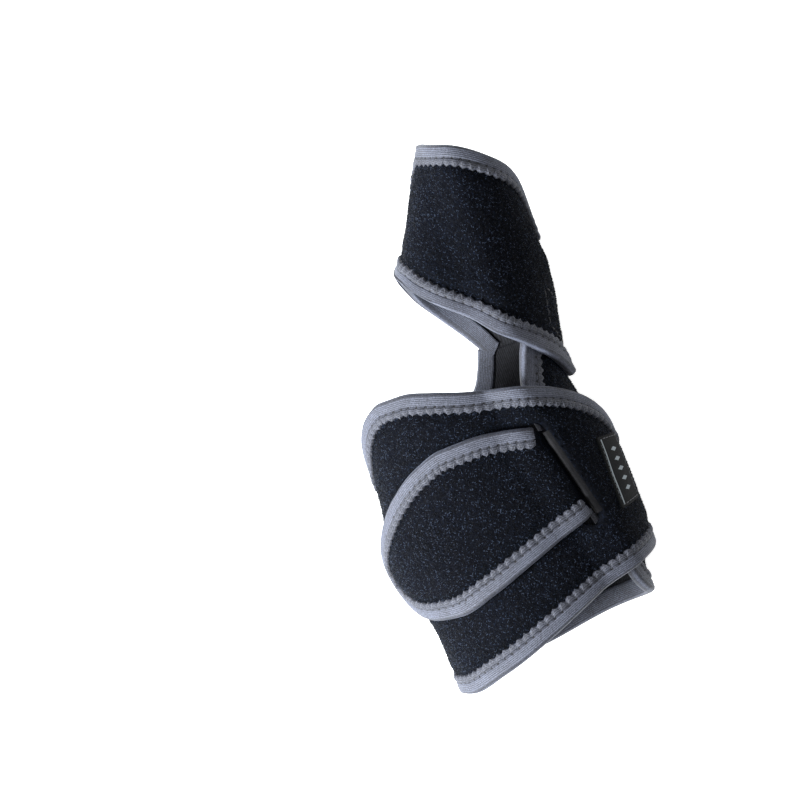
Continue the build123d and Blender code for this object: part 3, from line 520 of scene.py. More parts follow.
def colour_ramp(tree, factor, *stops):
    node = tree.nodes.new("ShaderNodeValToRGB")
    elements = node.color_ramp.elements
    while len(elements) < len(stops):
        elements.new(0.5)
    for element, (place, colour) in zip(elements, stops):
        element.position = place
        element.color = (*colour, 1.0)
    tree.links.new(factor, node.inputs["Fac"])
    return node.outputs["Color"]


def noise(tree, coordinates, scale, detail=2.0, roughness=0.6, distortion=0.0):
    node = tree.nodes.new("ShaderNodeTexNoise")
    settings = {"Scale": scale, "Detail": detail, "Roughness": roughness, "Distortion": distortion}
    for socket, value in settings.items():
        node.inputs[socket].default_value = value
    tree.links.new(coordinates, node.inputs["Vector"])
    return node.outputs["Fac"]


def calculate(tree, operation, *values):
    node = tree.nodes.new("ShaderNodeMath")
    node.operation = operation
    for socket, value in zip(node.inputs, values):
        if isinstance(value, (int, float)):
            socket.default_value = value
        else:
            tree.links.new(value, socket)
    return node.outputs["Value"]


def wave(tree, place, pitch, operation="SINE"):
    return calculate(tree, operation, calculate(tree, "MULTIPLY", place, 2 * math.pi / pitch))


def place_socket(tree):
    return tree.nodes.new("ShaderNodeTexCoord").outputs["Object"]


def uv_socket(tree):
    return tree.nodes.new("ShaderNodeTexCoord").outputs["UV"]


def split_uv(tree):
    split = tree.nodes.new("ShaderNodeSeparateXYZ")
    tree.links.new(uv_socket(tree), split.inputs["Vector"])
    return split.outputs["X"], split.outputs["Y"]


def dress(tree, surface, base, roughness, heights, specular=0.5, sheen=None):
    """Sets a surface's colour and roughness, its bumps of (height, strength, distance), and its gloss."""
    tree.links.new(base, surface.inputs["Base Color"])
    if isinstance(roughness, float):
        surface.inputs["Roughness"].default_value = roughness
    else:
        tree.links.new(roughness, surface.inputs["Roughness"])
    surface.inputs["Specular IOR Level"].default_value = specular
    if sheen is not None:
        weight, sheen_roughness, tint = sheen
        surface.inputs["Sheen Weight"].default_value = weight
        surface.inputs["Sheen Roughness"].default_value = sheen_roughness
        surface.inputs["Sheen Tint"].default_value = (*tint, 1.0)
    normal = None
    for height, strength, distance in heights:
        node = tree.nodes.new("ShaderNodeBump")
        node.inputs["Strength"].default_value = strength
        node.inputs["Distance"].default_value = distance
        tree.links.new(height, node.inputs["Height"])
        if normal is not None:
            tree.links.new(normal, node.inputs["Normal"])
        normal = node.outputs["Normal"]
    tree.links.new(normal, surface.inputs["Normal"])


def make_plush():
    material, tree, surface = new_material("black_plush")
    places = place_socket(tree)
    curls = noise(tree, places, 1500.0, 3.0, 0.65, 1.2)
    fine = noise(tree, places, 3600.0)
    patches = noise(tree, places, 55.0, 2.0, 0.5)
    # The lightest bluish stop is partly painted highlight: it stands for glints on the fibre tips as well as
    # for lighter fibres in the pile.
    base = colour_ramp(
        tree, calculate(tree, "MULTIPLY_ADD", patches, 0.12, curls),
        (0.42, (0.0003, 0.0005, 0.0010)), (0.62, (0.0010, 0.0016, 0.0034)),
        (0.74, (0.005, 0.008, 0.016)), (0.86, (0.022, 0.033, 0.062)),
    )
    rough = calculate(tree, "MULTIPLY_ADD", fine, 0.2, 0.72)
    bumps = ((curls, 0.9, 0.0006), (fine, 0.6, 0.0002))
    dress(tree, surface, base, rough, bumps, 0.05, (0.012, 0.35, (0.45, 0.60, 1.0)))
    return material


def make_jersey():
    """Smooth knitted lining on the skin side."""
    material, tree, surface = new_material("black_jersey")
    places = uv_socket(tree)
    ribs = tree.nodes.new("ShaderNodeTexWave")
    for socket, value in {"Scale": 380.0, "Distortion": 1.2, "Detail": 1.0, "Detail Scale": 3.0}.items():
        ribs.inputs[socket].default_value = value
    tree.links.new(places, ribs.inputs["Vector"])
    mottling = noise(tree, places, 900.0)
    blended = calculate(tree, "MULTIPLY_ADD", ribs.outputs["Fac"], 0.5, mottling)
    base = colour_ramp(tree, blended, (0.4, (0.003, 0.003, 0.004)), (1.0, (0.013, 0.014, 0.018)))
    dress(tree, surface, base, 0.8, ((blended, 0.7, 0.0002),), 0.2, (0.02, 0.4, (0.7, 0.8, 1.0)))
    return material


def make_elastic():
    """Grey elastic tape with fine lengthwise ribs. Its UV runs along and across it in millimetres."""
    material, tree, surface = new_material("grey_elastic")
    along, across = split_uv(tree)
    yarn = noise(tree, place_socket(tree), 2600.0, 3.0, 0.65)
    wear = noise(tree, place_socket(tree), 160.0, 3.0)
    knit = calculate(tree, "MULTIPLY_ADD", wave(tree, across, RIB_PITCH), 0.13, yarn)
    knit = calculate(tree, "MULTIPLY_ADD", wave(tree, along, PICK_PITCH), 0.06, knit)
    shade = calculate(tree, "MULTIPLY_ADD", wear, 0.22, knit)
    beat = calculate(tree, "MAXIMUM", wave(tree, along, SCALLOP_PITCH, "COSINE"), 0.0)
    beat = calculate(tree, "POWER", beat, 5.0)
    from_row = calculate(tree, "ABSOLUTE", calculate(tree, "SUBTRACT", across, RIBBED_WIDTH + 0.1))
    near_row = calculate(tree, "MULTIPLY_ADD", from_row, -1 / 0.55, 1.0)
    needle_holes = calculate(tree, "MULTIPLY", beat, calculate(tree, "MAXIMUM", near_row, 0.0))
    shade = calculate(tree, "MULTIPLY_ADD", needle_holes, -0.7, shade)
    sewn = calculate(tree, "GREATER_THAN", across, RIBBED_WIDTH)
    shade = calculate(tree, "MULTIPLY_ADD", sewn, -SEWN_DARKENING, shade)
    base = colour_ramp(
        tree, shade, (0.20, (0.0035, 0.0036, 0.0050)), (0.38, (0.011, 0.012, 0.017)),
        (0.60, (0.033, 0.036, 0.050)), (0.84, (0.085, 0.095, 0.130)),
    )
    dress(tree, surface, base, 0.66, ((knit, 0.75, 0.00025),), 0.35, (0.05, 0.35, (0.70, 0.82, 1.0)))
    return material


def make_thread(name, colour):
    material, tree, surface = new_material(name)
    twist = noise(tree, place_socket(tree), 3000.0)
    darker, lighter = [tuple(value * change for value in colour) for change in (0.55, 1.6)]
    base = colour_ramp(tree, twist, (0.35, darker), (0.65, lighter))
    dress(tree, surface, base, 0.6, ((twist, 0.5, 0.0001),), sheen=(0.1, 0.4, (0.8, 0.9, 1.0)))
    return material


def make_webbing(name, dark, light, pitch, strength):
    """Plain woven cloth, with its UV in metres."""
    material, tree, surface = new_material(name)
    warp_place, weft_place = split_uv(tree)
    weave = calculate(tree, "MULTIPLY", wave(tree, warp_place, pitch), wave(tree, weft_place, pitch))
    yarn = noise(tree, place_socket(tree), 2400.0)
    base = colour_ramp(tree, calculate(tree, "MULTIPLY_ADD", weave, 0.22, yarn), (0.3, dark), (0.75, light))
    bumps = ((weave, strength, 0.0001), (yarn, 0.3, 0.0001))
    dress(tree, surface, base, 0.75, bumps, 0.2, (0.02, 0.4, (0.8, 0.9, 1.0)))
    return material


def make_label():
    """Dark woven label with a light border line and a row of plain diamonds. Its UV is 0 to 1."""
    material, tree, surface = new_material("woven_label_cloth")
    across, along = split_uv(tree)
    weave = calculate(tree, "MULTIPLY", wave(tree, along, 1 / 70), wave(tree, across, 1 / 30))
    yarn = noise(tree, place_socket(tree), 2600.0)
    cloth = colour_ramp(
        tree, calculate(tree, "MULTIPLY_ADD", weave, 0.2, yarn),
        (0.3, (0.0016, 0.0018, 0.002)), (0.8, (0.007, 0.008, 0.009)),
    )
    side_line = calculate(
        tree, "MULTIPLY", calculate(tree, "COMPARE", across, 0.86, 0.0229),
        calculate(tree, "COMPARE", along, 0.5, 0.46),
    )
    repeat = calculate(tree, "FRACT", calculate(tree, "MULTIPLY", along, 7.0))
    from_middle = calculate(tree, "ABSOLUTE", calculate(tree, "SUBTRACT", repeat, 0.5))
    off_centre = calculate(tree, "ABSOLUTE", calculate(tree, "SUBTRACT", across, 0.45))
    reach = calculate(tree, "MULTIPLY_ADD", off_centre, 1.6, from_middle)
    diamonds = calculate(
        tree, "MULTIPLY", calculate(tree, "LESS_THAN", reach, 0.24),
        calculate(tree, "COMPARE", along, 0.5, 0.36),
    )
    marks = calculate(tree, "MAXIMUM", side_line, diamonds)
    mix = tree.nodes.new("ShaderNodeMix")
    mix.data_type = "RGBA"
    tree.links.new(marks, mix.inputs["Factor"])
    tree.links.new(cloth, mix.inputs["A"])
    mix.inputs["B"].default_value = (0.22, 0.25, 0.27, 1.0)
    bumps = ((weave, 0.4, 0.0001), (marks, 0.4, 0.0001))
    dress(tree, surface, mix.outputs["Result"], 0.8, bumps, 0.12)
    return material


def make_metal():
    material, tree, surface = new_material("brushed_aluminium")
    stretch = tree.nodes.new("ShaderNodeMapping")
    stretch.inputs["Scale"].default_value = (1.0, 1.0, 0.04)
    tree.links.new(place_socket(tree), stretch.inputs["Vector"])
    grain = noise(tree, stretch.outputs["Vector"], 4000.0, 3.0)
    base = colour_ramp(tree, grain, (0.3, (0.26, 0.265, 0.28)), (0.8, (0.44, 0.445, 0.46)))
    surface.inputs["Metallic"].default_value = 1.0
    rough = calculate(tree, "MULTIPLY_ADD", grain, 0.25, 0.25)
    dress(tree, surface, base, rough, ((grain, 0.2, 0.0001),))
    return material


def make_cap_plastic():
    material, tree, surface = new_material("dipped_plastic")
    mottling = noise(tree, place_socket(tree), 500.0, 3.0)
    base = colour_ramp(tree, mottling, (0.3, (0.012, 0.012, 0.013)), (0.8, (0.03, 0.03, 0.032)))
    dress(tree, surface, base, 0.42, ((mottling, 0.25, 0.0002),))
    return material


def make_fibre(name, colour):
    material, _, surface = new_material(name)
    surface.inputs["Base Color"].default_value = (*colour, 1.0)
    surface.inputs["Roughness"].default_value = 0.5
    surface.inputs["Specular IOR Level"].default_value = 0.08
    return material


plush = make_plush()
jersey = make_jersey()
elastic = make_elastic()
zigzag_thread = make_thread("grey_thread", (0.034, 0.037, 0.050))
black_thread = make_thread("black_thread", (0.010, 0.011, 0.014))
label_thread = make_thread("label_thread_cloth", (0.05, 0.054, 0.06))
facing_cloth = make_webbing("black_facing", (0.0015, 0.0015, 0.002), (0.007, 0.007, 0.009), 0.0006, 0.5)
sleeve_cloth = make_webbing("sleeve_webbing", (0.006, 0.0065, 0.008), (0.028, 0.03, 0.036), 0.0009, 0.8)
hook_base = make_webbing("hook_base", (0.010, 0.010, 0.012), (0.035, 0.036, 0.040), 0.0012, 0.8)
label_cloth = make_label()
metal = make_metal()
cap_plastic = make_cap_plastic()
# The third, pale bluish fibre is partly painted highlight: its colour stands for glints on fibre tips as well
# as for lighter fibres.
fibres = [
    make_fibre("fibre_dark", (0.0006, 0.0010, 0.0020)),
    make_fibre("fibre_mid", (0.0034, 0.0056, 0.0112)),
    make_fibre("fibre_pale_and_glint", (0.028, 0.038, 0.062)),
]


# ---- pile: short curled fibres that lie on the plush ----
FIBRE_WIDTH = 0.12
FIBRE_SHARES = (0.44, 0.37, 0.19)
FIBRE_LENGTH = (0.3, 0.75)
FIBRE_LIFT = (0.10, 0.40)
FIBRE_CURL = (-0.45, 0.45)
FIBRE_SPANS = (FIBRE_LENGTH, FIBRE_LIFT, FIBRE_CURL)


def pile_piece(name, sheet, rims, start, end, per_square, keep=None, crown=CROWN):
    """Curled fibres on the padded face between two angles, at most per_square to a square millimetre."""
    trial = np.linspace(start, end, 200)
    low, high = sheet.low(trial), sheet.high(trial)
    arc = path_lengths(sheet.point(trial, (low + high) / 2, 0))
    count = int(arc[-1] * (high - low).max() * per_square / FINE**2)
    angles = np.interp(rng.uniform(0, arc[-1], count), arc, trial)
    levels = rng.uniform(low.min(), high.max(), count)
    inside = (levels > sheet.low(angles)) & (levels < sheet.high(angles))
    angles, levels = angles[inside], levels[inside]
    inside = edge_distance(sheet.point(angles, levels, 0.0), rims) > CROWN_START + 0.5
    if keep is not None:
        inside &= keep(angles, levels)
    angles, levels = angles[inside], levels[inside]
    root = sheet.point(angles, levels, outer_depth(sheet, angles, levels, rims, crown))
    _, per_z, outward = sheet.axes(angles, levels, sheet.thickness)
    total = len(angles)
    turn = rng.uniform(0, 2 * math.pi, total)[:, None]
    way = unit(per_z) * np.cos(turn) + unit(np.cross(outward, per_z)) * np.sin(turn)
    side = np.cross(outward, way)
    length, lift, curl = [rng.uniform(*span, total)[:, None] for span in FIBRE_SPANS]
    spine = np.stack([
        root - outward * 0.08,
        root + way * length * 0.35 + outward * lift + side * curl * 0.25,
        root + way * length * 0.75 + outward * lift * 0.9 + side * curl * 0.6,
        root + way * length * 0.9 + outward * 0.02 + side * curl,
    ], axis=1)
    made = strip_piece(name, spine, side * FIBRE_WIDTH / 2, fibres[0])
    for extra in fibres[1:]:
        made.data.materials.append(extra)
    kinds = rng.choice(3, size=total, p=FIBRE_SHARES)
    made.data.polygons.foreach_set("material_index", np.repeat(kinds, 3).astype(np.int32))
    return made


# ---- binding tape ----
def along_path(sheet, path, spacing, depth=0.0):
    """A path on a sheet with its places evenly apart: angles, levels and distances."""
    path = np.asarray(path, float)
    lengths = path_lengths(sheet.point(path[:, 0], path[:, 1], depth))
    distances = np.linspace(0, lengths[-1], max(4, int(lengths[-1] / spacing)))
    return np.interp(distances, lengths, path[:, 0]), np.interp(distances, lengths, path[:, 1]), distances


class EdgeFrames:
    """Directions at each station of a path along the edge of a sheet."""

    def __init__(self, sheet, angles, levels, inward_sign):
        self.sheet, self.angles, self.levels = sheet, angles, levels
        self.middle = sheet.point(angles, levels, sheet.thickness / 2)
        per_degree, per_z, self.outward = sheet.axes(angles, levels, sheet.thickness / 2)
        along = np.gradient(self.middle, axis=0)
        along = unit(along - self.outward * dot(along, self.outward)[:, None])
        self.inward = np.cross(self.outward, along) * inward_sign
        square_a, square_z = dot(per_degree, per_degree), dot(per_z, per_z)
        mixed = dot(per_degree, per_z)
        wanted_a, wanted_z = dot(self.inward, per_degree), dot(self.inward, per_z)
        scale = square_a * square_z - mixed**2
        self.degrees_per_mm = (wanted_a * square_z - wanted_z * mixed) / scale
        self.z_per_mm = (wanted_z * square_a - wanted_a * mixed) / scale

    def place(self, inset, depth):
        angle = self.angles + self.degrees_per_mm * inset
        level = self.levels + self.z_per_mm * inset
        return self.sheet.point(angle, level, depth)

    def nose(self, turn, reach_out, reach_up):
        """A place round the folded edge, turn from 0 at the top face to pi at the bottom."""
        raised = self.outward * (math.cos(turn) * reach_up)
        return self.middle + raised - self.inward * (math.sin(turn) * reach_out)


def not_pressed(angles):
    return np.ones_like(angles)


def near(value, middle, width):
    return math.exp(-(((value - middle) / width) ** 2))


def tape_piece(name, sheet, path, inward_sign, fullness):
    """Elastic tape folded over an edge: ribbed at the fold and scalloped where it is sewn down."""
    angles, levels, distance = along_path(sheet, path, TAPE_SPACING)
    frames = EdgeFrames(sheet, angles, levels, inward_sign)
    full = fullness(angles)
    beat = np.abs(np.sin(math.pi * distance / SCALLOP_PITCH))
    hole = np.maximum(0.0, np.cos(2 * math.pi * distance / SCALLOP_PITCH)) ** 8
    edge = TAPE_REACH + SCALLOP * (beat**0.7 - 0.4)
    top = sheet.thickness + TAPE_GAP + TAPE
    rows, across = [], []
    for share in np.linspace(1.0, 0.0, 10)[:-1]:
        puff = math.sin(math.pi * min(1.0, share * 1.05)) ** 0.7 if share < 0.95 else 0.0
        height = 0.10 + (0.18 + 0.34 * beat) * puff - 0.55 * (share >= 1.0)
        height = height - 0.42 * hole * near(share, 0.08, 0.16)
        inset = RIBBED_WIDTH + share * (edge - RIBBED_WIDTH)
        rows.append(frames.place(inset, top + full * height))
        across.append(RIBBED_WIDTH + share * (TAPE_REACH - RIBBED_WIDTH))
    for inset in np.linspace(RIBBED_WIDTH, 0, 15):
        arch = 0.34 * math.sqrt(max(0.0, 1.0 - ((inset - 1.3) / 2.4) ** 2))
        rib = 0.055 * math.cos(2 * math.pi * inset / RIB_PITCH)
        groove = 0.22 * near(inset, RIBBED_WIDTH, 0.3) + 0.3 * hole * near(inset, RIBBED_WIDTH, 0.4)
        rows.append(frames.place(inset, top + full * (arch + rib - groove)))
        across.append(inset)
    for turn in np.linspace(0.0, math.pi, 11)[1:-1]:
        rib = 0.05 * math.cos(turn * 9)
        raised = (rib + 0.28 * math.cos(turn / 2) ** 2) * full[:, None]
        rows.append(frames.nose(turn, 1.25 + rib, sheet.thickness / 2 + TAPE_GAP + TAPE + raised))
        across.append(-0.4 * turn)
    for inset in (0.0, 1.5, 3.0, 4.2, TAPE_REACH):
        rows.append(frames.place(inset, -TAPE_GAP - TAPE))
        across.append(-1.4 - inset)
    rows.append(frames.place(TAPE_REACH + 0.1, -0.02))
    across.append(-1.6 - TAPE_REACH)
    places = np.stack(rows, axis=1)
    stations, columns = places.shape[:2]
    uv = np.stack(np.broadcast_arrays(distance[:, None], np.array(across)[None, :]), axis=-1)
    made = mesh_object(name, places.reshape(-1, 3), grid_faces(stations, columns), elastic, uv.reshape(-1, 2))
    end_faces = np.arange(2 * columns).reshape(2, columns)
    join(made, mesh_object(name + "_cut_ends", places[[0, -1]].reshape(-1, 3), end_faces, elastic))
    return made, zigzag_piece(name + "_zigzag", frames, distance, top, full)


def join(target, other):
    both = [target, other]
    with bpy.context.temp_override(
        active_object=target, object=target, selected_objects=both, selected_editable_objects=both,
    ):
        bpy.ops.object.join()


def tube(places, outward, radius, sides=6):
    """Vertices and quads of a round thread through places."""
    along = unit(np.gradient(places, axis=0))
    side = unit(np.cross(along, outward))
    up = np.cross(side, along)
    turns = np.linspace(0, 2 * math.pi, sides, endpoint=False)
    ring = side[:, None] * np.cos(turns)[None, :, None] + up[:, None] * np.sin(turns)[None, :, None]
    vertices = places[:, None] + ring * np.broadcast_to(radius, (len(places),))[:, None, None]
    index = np.arange(len(places) * sides).reshape(len(places), sides)
    after = np.roll(index, -1, axis=1)
    quads = np.stack([index[:-1], after[:-1], after[1:], index[1:]], axis=-1).reshape(-1, 4)
    return vertices.reshape(-1, 3), quads


ZIGZAG_RADIUS = 0.15
ZIGZAG_RISE = 0.12


def zigzag_piece(name, frames, distance, top, full):
    """The zigzag row that sews the tape down: one stitch in the groove, one past the edge."""
    phase = distance / SCALLOP_PITCH
    swing = np.abs(((phase + 0.5) % 1.0) - 0.5) * 2
    inset = RIBBED_WIDTH + 0.15 + swing * (TAPE_REACH + SCALLOP * 0.75 - RIBBED_WIDTH)
    dip = 0.30 * np.abs(np.sin(2 * math.pi * phase))
    sunk = 0.30 * (swing > 0.92) + ZIGZAG_RISE * (1 - full)
    places = frames.place(inset, top + (ZIGZAG_RISE + dip) * full - sunk)
    vertices, quads = tube(places, frames.outward, ZIGZAG_RADIUS, 5)
    return mesh_object(name, vertices, quads, zigzag_thread)


STITCH_SINK = 0.2
STITCH_RISE = 0.10


def stitch_piece(name, rows, material, length=2.3, gap=0.55, radius=0.19):
    """Separate lockstitches along rows of (sheet, path, depth)."""
    all_vertices, all_quads, total = [], [], 0
    share = np.linspace(0, 1, 7)
    arch = np.sin(math.pi * share) ** 0.5
    for sheet, path, depth in rows:
        angles, levels, distance = along_path(sheet, path, 0.25, depth)
        _, _, outward = sheet.axes(angles, levels, depth)
        for number in range(int((distance[-1] + gap) / (length + gap))):
            wanted = number * (length + gap) + share * length
            angle = np.interp(wanted, distance, angles)
            level = np.interp(wanted, distance, levels)
            places = sheet.point(angle, level, depth - STITCH_SINK + (STITCH_RISE + STITCH_SINK) * arch)
            way = np.stack([np.interp(wanted, distance, outward[:, i]) for i in range(3)], axis=-1)
            vertices, quads = tube(places, way, radius * (0.6 + 0.4 * arch))
            all_vertices.append(vertices)
            all_quads.append(quads + total)
            total += len(vertices)
    return mesh_object(name, np.concatenate(all_vertices), np.concatenate(all_quads), material)


def row(sheet, angles, levels, depth):
    """A row of stitches for stitch_piece. Either its angles or its levels may be one number."""
    return sheet, np.stack(np.broadcast_arrays(angles, levels), axis=-1), depth


# ---- how a piece is held, and what it stands for ----
def stand_for(piece, nodes, hold):
    """Hold is a body's name, or a function that is called with the piece instead."""
    if nodes:
        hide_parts(*nodes)
    if callable(hold):
        hold(piece)
    else:
        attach(piece, hold)


def bind(name, sheet, path, sign, node, hold, fullness=not_pressed):
    """The tape along an edge and its zigzag."""
    tape, zigzag = tape_piece(name, sheet, path, sign, fullness)
    stand_for(tape, [node], hold)
    stand_for(zigzag, [], hold)


def padded(name, node, sheet, grid, rims, pile_span, hold, density, faces=None, clear=None, crown=CROWN):
    """The plush cloth of a fabric piece and the pile on it."""
    stand_for(plush_piece(name + "_cloth", sheet, *grid, rims, faces, crown), [node], hold)
    stand_for(pile_piece(name + "_pile", sheet, rims, *pile_span, density, clear, crown), [], hold)


def sewn(name, rows, node, hold, thread=black_thread, slot_name="thread", **size):
    stand_for(stitch_piece(name, rows, thread, **size), [node], hold)


def rim_path(sheet, rim, start, end, count=300):
    wanted = np.linspace(start, end, count)
    return np.stack([wanted, rim(wanted)], axis=-1)


def hinge(name):
    """Where a hinge is, and its axis."""
    joint = next(j for j in frame["joints"] if j["name"] == name)
    return Vector(joint["pos_m"]), Vector(joint["axis"]).normalized()


GRID = 0.62 * FINE
PILE = 3.2
THICK_PILE = PILE * 1.15

# ---- main panel ----
main_rims = rim_places(main_sheet)
main_grid = fabric_grid(main_sheet, GRID)
padded("main_panel", "main_panel", main_sheet, main_grid, main_rims, (-150, 49), "wrap", PILE)
TAPE_OVERLAP = 1.6
palm_path = rim_path(main_sheet, Rim(MAIN_HIGH), 30, 49.5, 120)
palm_path = palm_path[palm_path[:, 1] < NECK_SEAM_Z + TAPE_OVERLAP]
main_lower_path = np.concatenate([palm_path, rim_path(main_sheet, main_sheet.low, 49.5, -149.5)])
STAY_ANGLE = -94.0
STAY_REACH = 19.0


def clear_of_stay(angles):
    """The tape is pressed flat where the stay slides out over it."""
    return 0.1 + 0.9 * ease(np.abs(angles - STAY_ANGLE), STAY_REACH, STAY_REACH + 6.0)


bind("main_tape_lower", main_sheet, main_lower_path, 1, "main_binding_lower", "wrap", clear_of_stay)
back_edge_path = rim_path(main_sheet, Rim(MAIN_HIGH), -60, -149.5)
back_edge_path = back_edge_path[back_edge_path[:, 1] < NECK_SEAM_Z + TAPE_OVERLAP]
bind("main_tape_upper", main_sheet, back_edge_path, -1, "main_binding_upper", "wrap")

# ---- thumb back panel ----
back_rims = rim_places(back_sheet, ends=False)
back_rims = back_rims[back_rims[:, 2] > NECK_SEAM_Z + 0.5]
back_grid = fabric_grid(back_sheet, GRID)
padded("thumb_back", "thumb_back_panel", back_sheet, back_grid, back_rims, (180, 422), "wrap", PILE)
back_upper = rim_path(back_sheet, back_sheet.high, 422.5, 180)
bind("thumb_back_tape_upper", back_sheet, back_upper, -1, "thumb_back_binding_upper", "wrap")
back_lower = rim_path(back_sheet, Rim(BACK_LOW), 180, 262)
back_lower = back_lower[back_lower[:, 1] > NECK_SEAM_Z - TAPE_OVERLAP]
bind("thumb_back_tape_lower", back_sheet, back_lower, -1, "thumb_back_binding_lower", "wrap")
NECK_STITCH_SPAN = (276.0, 398.0)
NECK_ROW_OFFSETS = (-1.4, 1.7)
neck_angles = np.linspace(*NECK_STITCH_SPAN, 60)
neck_rows = [
    row(back_sheet, neck_angles, NECK_SEAM_Z + offset, FABRIC + CROWN * 0.4) for offset in NECK_ROW_OFFSETS
]
sewn("neck_seam_stitches", neck_rows, "neck_seam_stitching", "wrap")

# ---- thumb strap, which bends about the web of the thumb ----
flap_origin, flap_axis = hinge("thumb_strap_open")
palm_way = Vector((0, -1, 0))
flap_side = flap_axis.cross(palm_way).normalized()
if flap_side.x < 0:
    flap_side = -flap_side


def bend_with_flap(piece):
    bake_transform(piece)


wing_grid = fabric_grid(wing_sheet, GRID)
wing_rims = rim_places(wing_sheet, ends=False)
padded(
    "thumb_strap", "thumb_strap", wing_sheet, wing_grid, wing_rims, (-5, 179), bend_with_flap, THICK_PILE
)
for end_name, rim_function, sign in (("upper", wing_sheet.high, 1), ("lower", wing_sheet.low, -1)):
    path = rim_path(wing_sheet, rim_function, -5.5, 180)
    node = "thumb_strap_binding_" + end_name
    bind("thumb_strap_tape_" + end_name, wing_sheet, path, sign, node, bend_with_flap)
WING_STITCH_DEPTH = BAND_FABRIC + CROWN * 0.9
row_angles = np.linspace(-2, 33, 40)
side_rises = np.linspace(WING_HOOK_LOW + 1.9, WING_HOOK_HIGH - 1.9, 20)
wing_hook_rows = [
    row(wing_sheet, row_angles, wing_sheet.low(row_angles) + up, WING_STITCH_DEPTH)
    for up in (WING_HOOK_LOW + 1.2, WING_HOOK_HIGH - 1.2)
] + [
    row(wing_sheet, a, wing_sheet.low(np.array(a)) + side_rises, WING_STITCH_DEPTH)
    for a in (-0.6, 31.6)
]
sewn("thumb_strap_hook_stitches", wing_hook_rows, "thumb_strap_hook_stitching", "thumb_flap")

# ---- wrist band with its slot ----
slot_low_z = SLOT_CENTRE_Z - SLOT_LENGTH / 2
slot_high_z = SLOT_CENTRE_Z + SLOT_LENGTH / 2
slot_low = band_sheet.point(leaning_angle(SLOT_ANGLE, slot_low_z), slot_low_z, BAND_FABRIC / 2)
slot_high = band_sheet.point(leaning_angle(SLOT_ANGLE, slot_high_z), slot_high_z, BAND_FABRIC / 2)
slot_along = unit(np.array([slot_high[0] - slot_low[0], slot_high[2] - slot_low[2]]))
slot_centre = np.array([(slot_low[0] + slot_high[0]) / 2, SLOT_CENTRE_Z])
slot_half = SLOT_LENGTH / 2 - SLOT_WIDTH / 2
PALM_Y = -5


def slot_offset(places):
    """Distance outside the slot's outline seen from the palm, and the way to its spine."""
    off_x, off_z = places[..., 0] - slot_centre[0], places[..., 2] - slot_centre[1]
    along = np.clip(off_x * slot_along[0] + off_z * slot_along[1], -slot_half, slot_half)
    to_x = off_x - along * slot_along[0]
    to_z = off_z - along * slot_along[1]
    distance = np.hypot(to_x, to_z)
    return distance - SLOT_WIDTH / 2, to_x / np.maximum(distance, 1e-9), to_z / np.maximum(distance, 1e-9)


def band_angle_at(x, z, guess):
    """The angle at which the middle of the band has this x."""
    angle = np.array(guess, float)
    for _ in range(5):
        here = band_sheet.point(angle, z, BAND_FABRIC / 2)[..., 0]
        slope = (band_sheet.point(angle + 0.1, z, BAND_FABRIC / 2)[..., 0] - here) / 0.1
        angle = angle - np.clip((here - x) / np.minimum(slope, -0.05), -3, 3)
    return angle


band_start = [(band_sheet.start, z) for z in np.linspace(BAND_HIGH[0][1], BAND_LOW[0][1], 24)]
start_levels = np.linspace(BAND_LOW[0][1], BAND_HIGH[0][1], 20)
start_places = band_sheet.point(np.full(20, float(band_sheet.start)), start_levels, 0.0)
band_rims = np.concatenate([rim_places(band_sheet), start_places])
angles, levels = fabric_grid(band_sheet, GRID)
middle_places = band_sheet.point(angles, levels, BAND_FABRIC / 2)
offset, way_x, way_z = slot_offset(middle_places)
on_palm = middle_places[..., 1] < PALM_Y
near_slot = on_palm & (np.abs(offset) < GRID * 0.75)
target_x = (middle_places[..., 0] - offset * way_x)[near_slot]
target_z = (middle_places[..., 2] - offset * way_z)[near_slot]
angles[near_slot] = band_angle_at(target_x, target_z, angles[near_slot])
levels[near_slot] = target_z
inside_slot = on_palm & (offset < -GRID * 0.5)
corner_in = inside_slot[:-1, :-1] | inside_slot[1:, :-1] | inside_slot[1:, 1:] | inside_slot[:-1, 1:]


def clear_of_slot(angle, level):
    place = band_sheet.point(angle, level, BAND_FABRIC / 2)
    return (slot_offset(place)[0] > 0.9) | (place[..., 1] > PALM_Y)


padded(
    "wrist_band", "wrist_band", band_sheet, (angles, levels), band_rims, (-37, 231), "wrap", PILE,
    ~corner_in, clear_of_slot,
)
band_path = np.concatenate([
    rim_path(band_sheet, band_sheet.high, 231.5, -38, 500), band_start[1:-1],
    rim_path(band_sheet, band_sheet.low, -38, 231.5, 500),
])
bind("wrist_band_tape", band_sheet, band_path, -1, "band_binding", "wrap")
BAND_SEAM_ANGLES = (214.0, 226.0)
BAND_SEAM_SPAN = (-52.0, 1.5)
seam_levels = np.linspace(*BAND_SEAM_SPAN, 50)
seam_rows = [row(band_sheet, a, seam_levels, BAND_FABRIC + CROWN) for a in BAND_SEAM_ANGLES]
sewn("band_seam_stitches", seam_rows, "band_seam_stitching", "wrap")

# ---- folded facing on the lip of the slot ----
LIP_INSET = 0.9
LIP_END = 4.2
lip_levels = np.linspace(slot_high_z - LIP_END, slot_low_z + LIP_END, 80)
lip_share = (lip_levels - slot_low_z) / (slot_high_z - slot_low_z)
lip_x = slot_low[0] + lip_share * (slot_high[0] - slot_low[0]) + (SLOT_WIDTH / 2 - LIP_INSET) / slot_along[1]
lip_angles = band_angle_at(lip_x, lip_levels, leaning_angle(SLOT_ANGLE - 3, lip_levels))
lip_frames = EdgeFrames(band_sheet, lip_angles, lip_levels, 1)
lip_rows = []
for inset in np.linspace(1.7, 0.0, 7):
    lip_rows.append(lip_frames.place(inset, BAND_FABRIC + 0.10 + 0.30 * math.cos(math.pi * inset / 3.4)))
for turn in np.linspace(0, math.pi, 9)[1:-1]:
    lip_rows.append(lip_frames.nose(turn, 0.60, BAND_FABRIC / 2 + 0.38))
